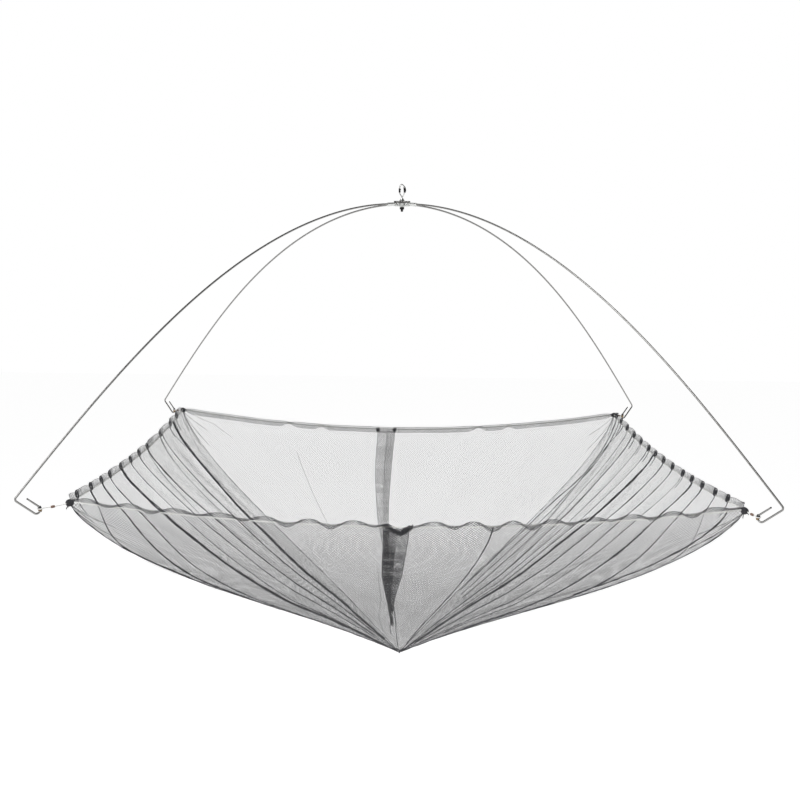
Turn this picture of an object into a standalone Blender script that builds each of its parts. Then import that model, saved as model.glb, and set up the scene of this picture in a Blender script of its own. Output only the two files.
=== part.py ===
# Umbrella net: a square of fine netting, 1 m on a side, hung from four sprung wire arms.
# The arms fold down from a clamped hub, which turns under a snap link that takes the line.
# Metres, +Z up, -Y is the front. The origin is the inner top of the snap link, where it hangs.
import math

import bmesh
import bpy
from mathutils import Matrix, Vector

MM = 0.001
GAP = 0.3 * MM  # between pieces that touch

# Heights
PIVOT_Z = -35.0 * MM  # arm hinge pins
RIM_DROP = 460.0 * MM  # from the pins to the plane of the four net corners
BAG_DEPTH = 401.0 * MM
RIM_Z = PIVOT_Z - RIM_DROP
TIP_Z = RIM_Z - BAG_DEPTH

# Netting
NET_SIDE = 1.000  # between corner knots
FRONT_SHIFT = 12.0 * MM  # the front corners are drawn this far to +X
TIP_X = 6.0 * MM
NET_WALL = 0.6 * MM
NET_EDGE = 1.5 * MM  # each panel stops this far from the corner seam
FULLNESS_CORNER = 0.37  # how far the netting hangs below a straight line, by depth
FULLNESS_MIDDLE = 0.25
OPENINGS_ACROSS = 12  # a coarse grid of openings stands for the fine mesh
OPENINGS_UP = 5
OPENINGS_FOOT = 0.145  # as shares of the way from tip to rim
OPENINGS_HEAD = 0.97
CROSS_STRAP = 0.01
PANEL_FOOT = 0.018
STRAP = 6.0 * MM  # of netting between two openings
STRAP_MOST = 0.7  # of an opening's pitch, where the bag narrows
RIM_SAG = {"front": 40.0 * MM, "rear": 36.0 * MM, "left": 12.0 * MM, "right": 16.0 * MM}
RIM_BOW = {"front": 30.0 * MM, "rear": 30.0 * MM, "left": 9.0 * MM, "right": 9.0 * MM}

# Rim cord, hem and centre pleats
RIM_CORD_R = 1.0 * MM
RIM_CORD_LIFT = 1.6 * MM  # above the top row of the netting
CORNER_CLEAR = 8.0 * MM  # rim pieces stop this far from a corner
HEM_OUT = 3.4 * MM  # from the rim cord to the middle of the hem
HEM_UP = 7.0 * MM
HEM_DOWN = 9.0 * MM
HEM_WALL = 0.6 * MM
HEM_WAVE = 1.1 * MM
HEM_RISE = 2.0 * MM
HEM_PITCH = 98.0 * MM
HEM_COLUMNS = 40
PLEAT_TOP_HALF = 19.0 * MM
PLEAT_END_HALF = 5.0 * MM
PLEAT_OFF = 1.6 * MM  # from the netting to the middle of a centre pleat
PLEAT_LOWEST_ROW = 5  # of the panel's rows
PLEAT_AT = {"front": (0.460, 0.484), "rear": (0.562, 0.527)}  # foot and top, as shares of the rim

# Wire arms
WIRE_R = 1.5 * MM
ARM_LENGTH = 0.883  # from the socket's mouth to the outer bend
ARM_STEPS = 20
ARM_SLOPE_START = 3.3  # degrees below level, in the socket
ARM_SLOPE_END = 45.1
ARM_POWER = 1.9
BEND_R = 4.0 * MM
BEND_TURN = 97.0  # degrees
LEG = 35.0 * MM
EYE_R = 5.75 * MM
RETURN_LEG = 23.0 * MM
EYE_STEPS = 8
EYE_REST = 6  # the lashing settles after this many steps of the eye, where the wire stands upright

# Hub
PIN_AT = 18.0 * MM  # hinge pins, from the centre line
PIN_R = 1.0 * MM
PIN_HEAD_R = 1.7 * MM
PIN_HEAD = 0.6 * MM
SOCKET_R = 2.5 * MM
SOCKET_START = 3.3 * MM  # from the pin
SOCKET_END = 20.0 * MM
SOCKET_BORE_R = WIRE_R + GAP
SOCKET_BORE_START = 6.0 * MM
TONGUE_HALF = 1.8 * MM
TONGUE_R = 2.4 * MM
EAR_IN = TONGUE_HALF + GAP
EAR_OUT = EAR_IN + 1.0 * MM
PLATE_SIDE = 30.0 * MM
TOP_PLATE_LOW = 2.8 * MM
TOP_PLATE_HIGH = 5.2 * MM
LOW_PLATE_LOW = -4.2 * MM
LOW_PLATE_HIGH = -3.0 * MM
SPACER_R = 8.0 * MM
BOLT_R = 2.4 * MM
BOLT_HOLE_R = BOLT_R + GAP
BOLT_END = -14.0 * MM
NUT_ACROSS = 8.0 * MM
NUT_HIGH = 4.0 * MM
WASHER_R = 5.0 * MM
WASHER_HIGH = 1.0 * MM

# Swivel collar and snap link
COLLAR_BASE_R = 5.2 * MM
COLLAR_TOP_R = 2.6 * MM
COLLAR_HIGH = 5.0 * MM
COLLAR_RIM = 1.1 * MM  # height of the collar's round foot
COLLAR_CEILING = 3.4 * MM  # height of the hollow that holds the stem's head
BOLT_IN_COLLAR = 1.6 * MM
STEM_R = 1.1 * MM
STEM_HEAD_R = 2.2 * MM
STEM_HEAD_UP = 1.9 * MM  # from the collar's foot to the underside of the stem's head
STEM_HEAD = 1.2 * MM
LINK_WIRE_R = 0.95 * MM
LINK_NECK = 2.6 * MM  # from the collar's top to the link's lowest point
LINK_LEFT_X = -4.7 * MM
GATE_PIVOT = (4.2 * MM, -4.8 * MM)  # x and z
GATE_LONG = 9.4 * MM
GATE_HALF_Y = 1.9 * MM
GATE_SLOT_HALF = 1.1 * MM
PADDLE_HALF = 0.8 * MM
PADDLE_R = 1.8 * MM
RIVET_R = 0.5 * MM
RIVET_HEAD_R = 1.1 * MM
RIVET_HEAD = 0.7 * MM
FERRULE_R = 1.85 * MM
FERRULE_HOLE_R = 1.35 * MM
FERRULE_LOW = -14.0 * MM
FERRULE_HIGH = -6.5 * MM
TOOTH = 1.0 * MM

# Corner lashings
CORNER_CORD_R = 0.9 * MM
WRAP_R = 2.9 * MM  # middle of the wrap, round the wire
WRAP_CORD_R = 1.0 * MM
BEAD_R = 2.6 * MM
BEAD_LONG = 6.8 * MM
KNOT_R = 4.6 * MM
KNOT_LONG = 10.0 * MM

HALF = NET_SIDE / 2
CORNERS = {
    "front_left": Vector((-HALF + FRONT_SHIFT, -HALF, RIM_Z)),
    "front_right": Vector((HALF + FRONT_SHIFT, -HALF, RIM_Z)),
    "rear_right": Vector((HALF, HALF, RIM_Z)),
    "rear_left": Vector((-HALF, HALF, RIM_Z)),
}
AZIMUTHS = {"front_left": 225.0, "front_right": 315.0, "rear_right": 45.0, "rear_left": 135.0}
SIDES = {
    "front": ("front_left", "front_right", Vector((0, -1, 0))),
    "right": ("front_right", "rear_right", Vector((1, 0, 0))),
    "rear": ("rear_right", "rear_left", Vector((0, 1, 0))),
    "left": ("rear_left", "front_left", Vector((-1, 0, 0))),
}
TIP = Vector((TIP_X, 0, TIP_Z))

OPENING_PITCH = (OPENINGS_HEAD + CROSS_STRAP - OPENINGS_FOOT) / OPENINGS_UP
PANEL_ROWS = [PANEL_FOOT]
for row in range(OPENINGS_UP):
    foot = OPENINGS_FOOT + OPENING_PITCH * row
    PANEL_ROWS += [foot, foot + OPENING_PITCH - CROSS_STRAP]
PANEL_ROWS.append(1.0)

# Materials: colour, roughness, metallic
FINISHES = {
    "black_paint": ((0.012, 0.012, 0.013), 0.35, 0.0),
    "zinc_plate": ((0.55, 0.56, 0.55), 0.35, 1.0),
    "black_steel": ((0.03, 0.03, 0.03), 0.4, 1.0),
    "spring_wire": ((0.45, 0.45, 0.44), 0.3, 1.0),
    "bright_wire": ((0.5, 0.5, 0.5), 0.3, 1.0),
    "white_cord": ((0.85, 0.84, 0.80), 0.7, 0.0),
    "brown_cord": ((0.25, 0.17, 0.08), 0.8, 0.0),
    "black_thread": ((0.02, 0.02, 0.024), 0.8, 0.0),
    "netting": ((0.03, 0.03, 0.04), 0.85, 0.0),
}
materials = {}


def material(name):
    if name not in materials:
        colour, roughness, metallic = FINISHES[name]
        made = bpy.data.materials.new(name)
        made.use_nodes = True
        shader = made.node_tree.nodes["Principled BSDF"]
        shader.inputs["Base Color"].default_value = (*colour, 1.0)
        shader.inputs["Roughness"].default_value = roughness
        shader.inputs["Metallic"].default_value = metallic
        materials[name] = made
    return materials[name]


def add(name, data, finish):
    data.materials.append(material(finish))
    made = bpy.data.objects.new(name, data)
    bpy.context.collection.objects.link(made)
    return made


def mesh_object(name, bm, finish, smooth_angle=35.0):
    bmesh.ops.recalc_face_normals(bm, faces=bm.faces)
    mesh = bpy.data.meshes.new(name)
    bm.to_mesh(mesh)
    bm.free()
    mesh.shade_smooth()
    mesh.set_sharp_from_angle(angle=math.radians(smooth_angle))
    return add(name, mesh, finish)


def empty(name, place, turn=0.0, parent=None):
    made = bpy.data.objects.new(name, None)
    made.empty_display_size = 0.02
    bpy.context.collection.objects.link(made)
    made.matrix_world = Matrix.Translation(place) @ Matrix.Rotation(math.radians(turn), 4, "Z")
    if parent:
        hang(made, parent)
    return made


def hang(made, parent):
    """Parents a piece to an empty and leaves it where it is."""
    bpy.context.view_layer.update()
    made.parent = parent
    made.matrix_parent_inverse = parent.matrix_world.inverted()
    return made


# Shapes

def turned(profile, steps):
    """A solid of revolution about Z, from a closed outline of (radius, height)."""
    bm = bmesh.new()
    ring = [bm.verts.new((r, 0, z)) for r, z in profile]
    edges = [bm.edges.new((ring[i], ring[(i + 1) % len(ring)])) for i in range(len(ring))]
    on_axis = [e for e in edges if max(v.co.x for v in e.verts) < 1e-9]
    bmesh.ops.delete(bm, geom=on_axis, context="EDGES")
    bmesh.ops.spin(
        bm, geom=list(bm.verts) + list(bm.edges), cent=(0, 0, 0), axis=(0, 0, 1),
        angle=2 * math.pi, steps=steps, use_merge=True,
    )
    bmesh.ops.remove_doubles(bm, verts=bm.verts, dist=1e-6)
    return bm


def prism(outline, low, high, along="z"):
    """An outline of (a, b) extruded between two heights along Z, or between two places along Y."""
    bm = bmesh.new()

    def place(a, b, c):
        return (a, b, c) if along == "z" else (a, c, b)

    bottom = [bm.verts.new(place(a, b, low)) for a, b in outline]
    top = [bm.verts.new(place(a, b, high)) for a, b in outline]
    bm.faces.new(bottom)
    bm.faces.new(top)
    for i in range(len(outline)):
        j = (i + 1) % len(outline)
        bm.faces.new((bottom[i], bottom[j], top[j], top[i]))
    return bm


def circle(radius, steps, at=(0.0, 0.0), start=0.0, turn=360.0):
    """Points of a circle or an arc, both ends of an arc included."""
    whole = abs(turn) >= 360.0
    count = steps if whole else steps + 1
    angles = [math.radians(start + turn * i / steps) for i in range(count)]
    return [(at[0] + radius * math.cos(a), at[1] + radius * math.sin(a)) for a in angles]


def tube(name, points, radius, finish, resolution=2):
    """A round wire or cord through the points, with closed ends."""
    curve = bpy.data.curves.new(name, "CURVE")
    curve.dimensions = "3D"
    curve.bevel_depth = radius
    curve.bevel_resolution = resolution
    curve.use_fill_caps = True
    spline = curve.splines.new("POLY")
    spline.points.add(len(points) - 1)
    for point, place in zip(spline.points, points):
        point.co = (*place, 1.0)
    return add(name, curve, finish)


def as_mesh(made, finish):
    """The same piece as a mesh object, for pieces that a Boolean goes on to shape."""
    bpy.context.view_layer.update()
    mesh = bpy.data.meshes.new_from_object(made.evaluated_get(bpy.context.evaluated_depsgraph_get()))
    name = made.name
    bpy.data.objects.remove(made, do_unlink=True)
    bm = bmesh.new()
    bm.from_mesh(mesh)
    bmesh.ops.remove_doubles(bm, verts=bm.verts, dist=1e-7)
    return mesh_object(name, bm, finish)


def cutter(name, bm):
    """A guide solid that only shapes its neighbour."""
    made = mesh_object(name, bm, "zinc_plate")
    made.hide_render = True
    made.display_type = "WIRE"
    return made


def boolean(target, tool, operation):
    step = target.modifiers.new(f"{operation.lower()} {tool.name}", "BOOLEAN")
    step.operation = operation
    step.solver = "EXACT"
    step.object = tool


# Snap link with its crimped ferrule, gate and swivel collar

def link_route():
    """The wire of the link, from the catch up the left side and over the top, as (x, z)."""
    neck_z = PIVOT_Z + TOP_PLATE_HIGH + COLLAR_HIGH + LINK_NECK
    catch = (4.0 * MM, GATE_PIVOT[1] - GATE_LONG - 0.6 * MM)
    control = [
        catch,
        (3.0 * MM, catch[1] - 2.6 * MM),
        (0.3 * MM, neck_z + 0.2 * MM),
        (-2.6 * MM, neck_z + 3.2 * MM),
        (LINK_LEFT_X, FERRULE_LOW - 0.4 * MM),
        (LINK_LEFT_X, FERRULE_HIGH + 0.2 * MM),
        (-3.7 * MM, -1.8 * MM),
        (-1.2 * MM, LINK_WIRE_R),
        (1.8 * MM, -0.6 * MM),
        (3.5 * MM, -2.8 * MM),
        GATE_PIVOT,
    ]
    return [Vector((x, 0, z)) for x, z in control], neck_z


def smooth_route(control, per_span):
    """A Catmull-Rom curve through the control points."""
    ends = [2 * control[0] - control[1]] + control + [2 * control[-1] - control[-2]]
    points = []
    for i in range(1, len(ends) - 2):
        a, b, c, d = ends[i - 1 : i + 3]
        for k in range(per_span):
            t = k / per_span
            points.append(
                0.5 * (2 * b + (c - a) * t + (2 * a - 5 * b + 4 * c - d) * t * t
                       + (3 * b - a - 3 * c + d) * t ** 3)
            )
    points.append(ends[-2])
    return points


def make_link(root):
    control, neck_z = link_route()
    wire = tube("snap_link", smooth_route(control, 2), LINK_WIRE_R, "bright_wire", 1)
    link = as_mesh(wire, "bright_wire")
    collar_low = PIVOT_Z + TOP_PLATE_HIGH + GAP
    head_low = collar_low + STEM_HEAD_UP
    head_high = head_low + STEM_HEAD
    stem = turned(
        [(0, head_low), (STEM_HEAD_R, head_low), (STEM_HEAD_R, head_high), (STEM_R, head_high),
         (STEM_R, neck_z - 1.2 * MM), (1.5 * MM, neck_z), (1.0 * MM, neck_z + 1.0 * MM),
         (0, neck_z + 1.0 * MM)], 16,
    )
    boolean(link, cutter("guide_stem", stem), "UNION")
    paddle = prism(circle(PADDLE_R, 16, GATE_PIVOT), -PADDLE_HALF, PADDLE_HALF, "y")
    boolean(link, cutter("guide_paddle", paddle), "UNION")
    hole = prism(circle(RIVET_R + GAP, 12, GATE_PIVOT), -3 * MM, 3 * MM, "y")
    boolean(link, cutter("guide_link_hole", hole), "DIFFERENCE")
    hang(link, root)

    ferrule = turned(
        [(FERRULE_HOLE_R, FERRULE_LOW), (FERRULE_R, FERRULE_LOW), (FERRULE_R, FERRULE_HIGH),
         (FERRULE_HOLE_R, FERRULE_HIGH)], 12,
    )
    sleeve = mesh_object("link_ferrule", ferrule, "black_steel")
    sleeve.location.x = LINK_LEFT_X
    inner = LINK_LEFT_X + FERRULE_R
    middle = (FERRULE_LOW + FERRULE_HIGH) / 2 + 1.6 * MM
    tooth = prism([(inner - 0.4 * MM, middle - 1.2 * MM), (inner + TOOTH, middle + 0.2 * MM),
                   (inner + TOOTH, middle + 0.6 * MM), (inner - 0.4 * MM, middle + 1.0 * MM)],
                  -0.6 * MM, 0.6 * MM, "y")
    boolean(sleeve, cutter("guide_tooth", tooth), "UNION")
    hang(sleeve, root)

    under = GATE_HALF_Y + GAP
    over = under + RIVET_HEAD
    rivet = [(0, -over), (RIVET_HEAD_R, -over), (RIVET_HEAD_R, -under), (RIVET_R, -under),
             (RIVET_R, under), (RIVET_HEAD_R, under), (RIVET_HEAD_R, over), (0, over)]
    pin = mesh_object("gate_rivet", turned(rivet, 12), "bright_wire")
    pin.matrix_world = Matrix.Translation((GATE_PIVOT[0], 0, GATE_PIVOT[1])) @ Matrix.Rotation(
        math.radians(90), 4, "X")
    hang(pin, root)


def make_gate(root):
    """The sprung gate: a thick lever forked at its hinge, which swings in between the wires."""
    x, z = GATE_PIVOT
    pivot = empty("gate_hinge", (x, 0, z), parent=root)
    foot = z - GATE_LONG
    outline = circle(2.0 * MM, 6, (x, z), 180.0, -150.0) + [
        (x + 2.9 * MM, z - 3.0 * MM), (x + 3.1 * MM, z - 6.0 * MM), (x + 2.0 * MM, foot),
        (x - 1.2 * MM, foot), (x - 1.6 * MM, z - 5.0 * MM),
    ]
    gate = mesh_object("snap_gate", prism(outline, -GATE_HALF_Y, GATE_HALF_Y, "y"), "black_steel", 25)
    slot = [(x - 4 * MM, z - 2.4 * MM), (x + 5 * MM, z - 2.4 * MM),
            (x + 5 * MM, z + 4 * MM), (x - 4 * MM, z + 4 * MM)]
    boolean(gate, cutter("guide_slot", prism(slot, -GATE_SLOT_HALF, GATE_SLOT_HALF, "y")), "DIFFERENCE")
    hole = prism(circle(RIVET_R + GAP, 12, (x, z)), -3 * MM, 3 * MM, "y")
    boolean(gate, cutter("guide_gate_hole", hole), "DIFFERENCE")
    hang(gate, pivot)


# Hub: collar, bolt, plates, spacer, washer and nut

def make_hub(hub):
    low = PIVOT_Z + TOP_PLATE_HIGH + GAP
    ceiling = low + COLLAR_CEILING
    collar = [(BOLT_HOLE_R, low), (COLLAR_BASE_R, low), (COLLAR_BASE_R, low + COLLAR_RIM),
              (COLLAR_BASE_R * 0.83, low + 1.5 * MM), (COLLAR_TOP_R, low + COLLAR_HIGH),
              (STEM_R + GAP, low + COLLAR_HIGH), (STEM_R + GAP, ceiling), (BOLT_HOLE_R, ceiling)]
    hang(mesh_object("swivel_collar", turned(collar, 20), "zinc_plate"), hub)

    bolt_low, bolt_high = PIVOT_Z + BOLT_END, low + BOLT_IN_COLLAR
    bolt = [(0, bolt_low), (BOLT_R * 0.7, bolt_low), (BOLT_R, bolt_low + 0.8 * MM),
            (BOLT_R, bolt_high - 0.4 * MM), (BOLT_R * 0.7, bolt_high), (0, bolt_high)]
    hang(mesh_object("centre_bolt", turned(bolt, 16), "black_steel"), hub)

    spacer_low = PIVOT_Z + LOW_PLATE_HIGH + GAP
    spacer_high = PIVOT_Z + TOP_PLATE_LOW - GAP
    spacer = [(BOLT_HOLE_R, spacer_low), (SPACER_R, spacer_low), (SPACER_R, spacer_high),
              (BOLT_HOLE_R, spacer_high)]
    hang(mesh_object("hub_spacer", turned(spacer, 20), "zinc_plate"), hub)

    washer_high = PIVOT_Z + LOW_PLATE_LOW - GAP
    washer = [(BOLT_HOLE_R, washer_high - WASHER_HIGH), (WASHER_R, washer_high - WASHER_HIGH),
              (WASHER_R, washer_high), (BOLT_HOLE_R, washer_high)]
    hang(mesh_object("hub_washer", turned(washer, 20), "zinc_plate"), hub)

    nut_high = washer_high - WASHER_HIGH - GAP
    hexagon = circle(NUT_ACROSS / math.sqrt(3), 6, start=30.0)
    nut = mesh_object("hub_nut", prism(hexagon, nut_high - NUT_HIGH, nut_high), "black_steel", 25)
    hole = prism(circle(BOLT_HOLE_R, 16), nut_high - 2 * NUT_HIGH, nut_high + NUT_HIGH)
    boolean(nut, cutter("guide_nut_hole", hole), "DIFFERENCE")
    hang(nut, hub)

    make_top_plate(hub)
    make_low_plate(hub)


def rounded_square(side, radius):
    """A square with its corners on the four arm directions."""
    half = side / 2 - radius
    points = []
    for i, (sx, sy) in enumerate(((1, 1), (-1, 1), (-1, -1), (1, -1))):
        points += circle(radius, 3, (sx * half, sy * half), 90.0 * i, 90.0)
    return points


def make_top_plate(hub):
    plate = prism(rounded_square(PLATE_SIDE, 1.5 * MM), PIVOT_Z + TOP_PLATE_LOW, PIVOT_Z + TOP_PLATE_HIGH)
    top = mesh_object("hub_top_plate", plate, "black_paint", 25)
    hole = prism(circle(BOLT_HOLE_R, 16), PIVOT_Z, PIVOT_Z + 2 * TOP_PLATE_HIGH)
    boolean(top, cutter("guide_top_hole", hole), "DIFFERENCE")
    hang(top, hub)


def make_low_plate(hub):
    """The lower plate, with a pair of ears turned up at each corner to carry a hinge pin."""
    cut = PIN_AT - 0.5 * MM  # the plate ends here on each arm's line
    side = PLATE_SIDE - 3.0 * MM
    reach = cut * math.sqrt(2) - side / 2
    outline = []
    for sx, sy in ((1, 1), (-1, 1), (-1, -1), (1, -1)):
        corner = [(side / 2, reach), (reach, side / 2)]
        if sx * sy < 0:
            corner.reverse()
        outline += [(sx * a, sy * b) for a, b in corner]
    plate = prism(outline, PIVOT_Z + LOW_PLATE_LOW, PIVOT_Z + LOW_PLATE_HIGH)
    low = mesh_object("hub_low_plate", plate, "zinc_plate", 25)
    ear = circle(TONGUE_R, 5, (0.0, 0.0), -60.0, 210.0)
    ear += [(-6.0 * MM, LOW_PLATE_HIGH - 0.4 * MM), (-0.8 * MM, LOW_PLATE_HIGH - 0.4 * MM)]
    for name, azimuth in AZIMUTHS.items():
        place = Matrix.Rotation(math.radians(azimuth), 4, "Z") @ Matrix.Translation((PIN_AT, 0, PIVOT_Z))
        for hand, inner, outer in (("a", EAR_IN, EAR_OUT), ("b", -EAR_OUT, -EAR_IN)):
            guide = cutter(f"guide_ear_{name}_{hand}", prism(ear, inner, outer, "y"))
            guide.matrix_world = place
            boolean(low, guide, "UNION")
        hole = cutter(f"guide_ear_hole_{name}", prism(circle(PIN_R + GAP, 8), -8 * MM, 8 * MM, "y"))
        hole.matrix_world = place
        boolean(low, hole, "DIFFERENCE")
    hole = cutter("guide_low_hole", prism(circle(BOLT_HOLE_R, 16), PIVOT_Z - 8 * MM, PIVOT_Z - 1 * MM))
    boolean(low, hole, "DIFFERENCE")
    hang(low, hub)


# Arms, each modelled along +X from its hinge pin

def along_socket(distance):
    slope = math.radians(ARM_SLOPE_START)
    return distance * math.cos(slope), -distance * math.sin(slope)


def arm_route():
    """The wire in its own plane, as (distance from the pin, height): arm, bend, leg and eye."""
    x, z = along_socket(SOCKET_END)
    points = [along_socket(SOCKET_BORE_START + GAP), (x, z)]
    heading = -ARM_SLOPE_START
    for i in range(1, ARM_STEPS + 1):
        share = i / ARM_STEPS
        slope = ARM_SLOPE_START + (ARM_SLOPE_END - ARM_SLOPE_START) * (1 - (1 - share) ** ARM_POWER)
        middle = math.radians((slope - heading) / 2)
        x += ARM_LENGTH / ARM_STEPS * math.cos(middle)
        z -= ARM_LENGTH / ARM_STEPS * math.sin(middle)
        heading = -slope
        points.append((x, z))

    def turn(radius, degrees, count):
        nonlocal x, z, heading
        for _ in range(count):
            step = math.radians(degrees / count)
            chord = 2 * radius * math.sin(step / 2)
            middle = math.radians(heading) - step / 2
            x += chord * math.cos(middle)
            z += chord * math.sin(middle)
            heading -= degrees / count
            points.append((x, z))

    def run(length):
        nonlocal x, z
        x += length * math.cos(math.radians(heading))
        z += length * math.sin(math.radians(heading))
        points.append((x, z))

    turn(BEND_R, BEND_TURN, 5)
    run(LEG)
    eye = len(points) + EYE_REST - 1
    turn(EYE_R, 180.0, EYE_STEPS)
    run(RETURN_LEG)
    return points, points[eye]


def make_arm(name, hinge, hub):
    local = hinge.matrix_world
    points, _ = arm_route()
    wire = tube(f"arm_wire_{name}", [Vector((x, 0, z)) for x, z in points], WIRE_R, "spring_wire")
    wire.matrix_world = local
    hang(wire, hinge)

    along = Matrix.Rotation(math.radians(90 + ARM_SLOPE_START), 4, "Y")
    barrel = turned(
        [(0, SOCKET_START), (SOCKET_R, SOCKET_START), (SOCKET_R, SOCKET_END),
         (SOCKET_BORE_R, SOCKET_END), (SOCKET_BORE_R, SOCKET_BORE_START), (0, SOCKET_BORE_START)], 16,
    )
    bmesh.ops.transform(barrel, matrix=along, verts=barrel.verts)
    socket = mesh_object(f"arm_socket_{name}", barrel, "zinc_plate")
    tongue = circle(TONGUE_R, 8, (0.0, 0.0), 90.0, 180.0)
    tongue += [(SOCKET_START + 0.8 * MM, -TONGUE_R * 0.9), (SOCKET_START + 0.8 * MM, TONGUE_R * 0.9)]
    guide = cutter(f"guide_tongue_{name}", prism(tongue, -TONGUE_HALF, TONGUE_HALF, "y"))
    hole = cutter(f"guide_tongue_hole_{name}", prism(circle(PIN_R + GAP, 12), -8 * MM, 8 * MM, "y"))
    for piece in (socket, guide, hole):
        piece.matrix_world = local
    boolean(socket, guide, "UNION")
    boolean(socket, hole, "DIFFERENCE")
    hang(socket, hinge)

    head = EAR_OUT + GAP
    pin = turned(
        [(0, -head - PIN_HEAD), (PIN_HEAD_R, -head - PIN_HEAD), (PIN_HEAD_R, -head), (PIN_R, -head),
         (PIN_R, head), (PIN_HEAD_R, head), (PIN_HEAD_R, head + PIN_HEAD), (0, head + PIN_HEAD)], 12,
    )
    made = mesh_object(f"hinge_pin_{name}", pin, "bright_wire")
    made.matrix_world = local @ Matrix.Rotation(math.radians(90), 4, "X")
    hang(made, hub)


# Corner lashings: a wrap on the eye, a short cord with a bead, and the knot on the net's corner

def facing(direction):
    """A turn that takes +Z to the direction."""
    return direction.to_track_quat("Z", "Y").to_matrix().to_4x4()


def make_lashing(name, hinge):
    points, eye = arm_route()
    eye_point = hinge.matrix_world @ Vector((eye[0], 0, eye[1]))
    corner = CORNERS[name]
    inward = (corner - eye_point).normalized()
    heading = -math.radians(ARM_SLOPE_END + BEND_TURN + 180.0 * EYE_REST / EYE_STEPS)
    wire_way = hinge.matrix_world.to_3x3() @ Vector((math.cos(heading), 0, math.sin(heading)))
    ring = turned(circle(WRAP_CORD_R, 6, (WRAP_R, 0.0)), 12)
    wrap = mesh_object(f"corner_wrap_{name}", ring, "brown_cord")
    wrap.matrix_world = Matrix.Translation(eye_point) @ facing(wire_way)
    hang(wrap, hinge)

    start = eye_point + inward * (WRAP_R + WRAP_CORD_R + GAP)
    end = corner - inward * (KNOT_LONG / 2 + GAP)
    length = (end - start).length
    sag = Vector((0, 0, -0.02 * length))
    route = [start.lerp(end, t / 8) + sag * (4 * t / 8 * (1 - t / 8)) for t in range(9)]
    hang(tube(f"corner_cord_{name}", route, CORNER_CORD_R, "white_cord", 1), hinge)

    hole = CORNER_CORD_R + GAP + 0.1 * MM
    bead = turned(
        [(hole, -BEAD_LONG / 2), (BEAD_R * 0.75, -BEAD_LONG / 2), (BEAD_R, -BEAD_LONG / 4),
         (BEAD_R, BEAD_LONG / 4), (BEAD_R * 0.75, BEAD_LONG / 2), (hole, BEAD_LONG / 2)], 12,
    )
    made = mesh_object(f"corner_bead_{name}", bead, "brown_cord")
    made.matrix_world = Matrix.Translation(start.lerp(end, 0.42) + sag) @ facing(inward)
    hang(made, hinge)

    half = KNOT_LONG / 2
    outline = [(0, -half), (KNOT_R * 0.45, -half)]
    turns = 3
    for i in range(turns):
        z = -half + KNOT_LONG * (i + 0.5) / turns
        swell = KNOT_R * (1.0 if 0 < i < turns - 1 else 0.85)
        outline += [(swell, z - 0.6 * MM), (swell, z + 0.6 * MM), (swell * 0.86, z + 1.25 * MM)]
    outline[-1] = (KNOT_R * 0.45, half)
    outline.append((0, half))
    knot = mesh_object(f"corner_knot_{name}", turned(outline, 10), "black_thread", 60)
    knot.matrix_world = Matrix.Translation(corner) @ facing(inward)
    hang(knot, hinge)


# Netting

def rim_point(side, t):
    """A point of the rim, from 0 at its first corner to 1 at its second."""
    first, second, outward = SIDES[side]
    swell = 4 * t * (1 - t)
    point = CORNERS[first].lerp(CORNERS[second], t)
    return point - outward * RIM_BOW[side] * swell - Vector((0, 0, RIM_SAG[side] * swell))


def bag_point(side, t, w):
    """A point of the netting: t along the rim, w from 0 at the tip to 1 at the rim."""
    rim = rim_point(side, t)
    swell = 4 * t * (1 - t)
    fullness = FULLNESS_CORNER + (FULLNESS_MIDDLE - FULLNESS_CORNER) * swell
    fall = (1 - w) + fullness * w * w * (1 - w) ** 0.6
    point = TIP.lerp(rim, w)
    point.z = rim.z + (TIP.z - rim.z) * fall
    return point


def bag_normal(side, t, w):
    step = 0.004
    low_t, high_t = max(0.0, t - step), min(1.0, t + step)
    low_w, high_w = max(0.0, w - step), min(1.0, w + step)
    along = bag_point(side, high_t, w) - bag_point(side, low_t, w)
    up = bag_point(side, t, high_w) - bag_point(side, t, low_w)
    return along.cross(up).normalized()


def shell(name, rows, wall, finish, openings=()):
    """A closed thin wall from rows of (point, normal), half on each side; some cells are left open."""
    bm = bmesh.new()
    skins = []
    for sign in (0.5, -0.5):
        skins.append([[bm.verts.new(p + n * wall * sign) for p, n in row] for row in rows])
    outer, inner = skins
    cells = {(i, j) for i in range(len(rows) - 1) for j in range(len(rows[0]) - 1)} - set(openings)
    for i, j in sorted(cells):
        ring = ((i, j), (i, j + 1), (i + 1, j + 1), (i + 1, j))
        bm.faces.new([outer[a][b] for a, b in ring])
        bm.faces.new([inner[a][b] for a, b in reversed(ring)])
        beside = ((i - 1, j), (i, j + 1), (i + 1, j), (i, j - 1))
        for side, first, second in zip(beside, ring, ring[1:] + ring[:1]):
            if side not in cells:
                (a, b), (c, d) = first, second
                bm.faces.new((outer[c][d], outer[a][b], inner[a][b], inner[c][d]))
    return mesh_object(name, bm, finish, 180)


def strap_places(w):
    """Where the straps between openings start and end along a row; the outer two are as wide."""
    half = min(STRAP / (2 * w * NET_SIDE), STRAP_MOST / (2 * OPENINGS_ACROSS))
    places = [0.0]
    for i in range(OPENINGS_ACROSS):
        places.append(i / OPENINGS_ACROSS + (half if i else 2 * half))
        places.append((i + 1) / OPENINGS_ACROSS - (half if i < OPENINGS_ACROSS - 1 else 2 * half))
    return places + [1.0]


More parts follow.
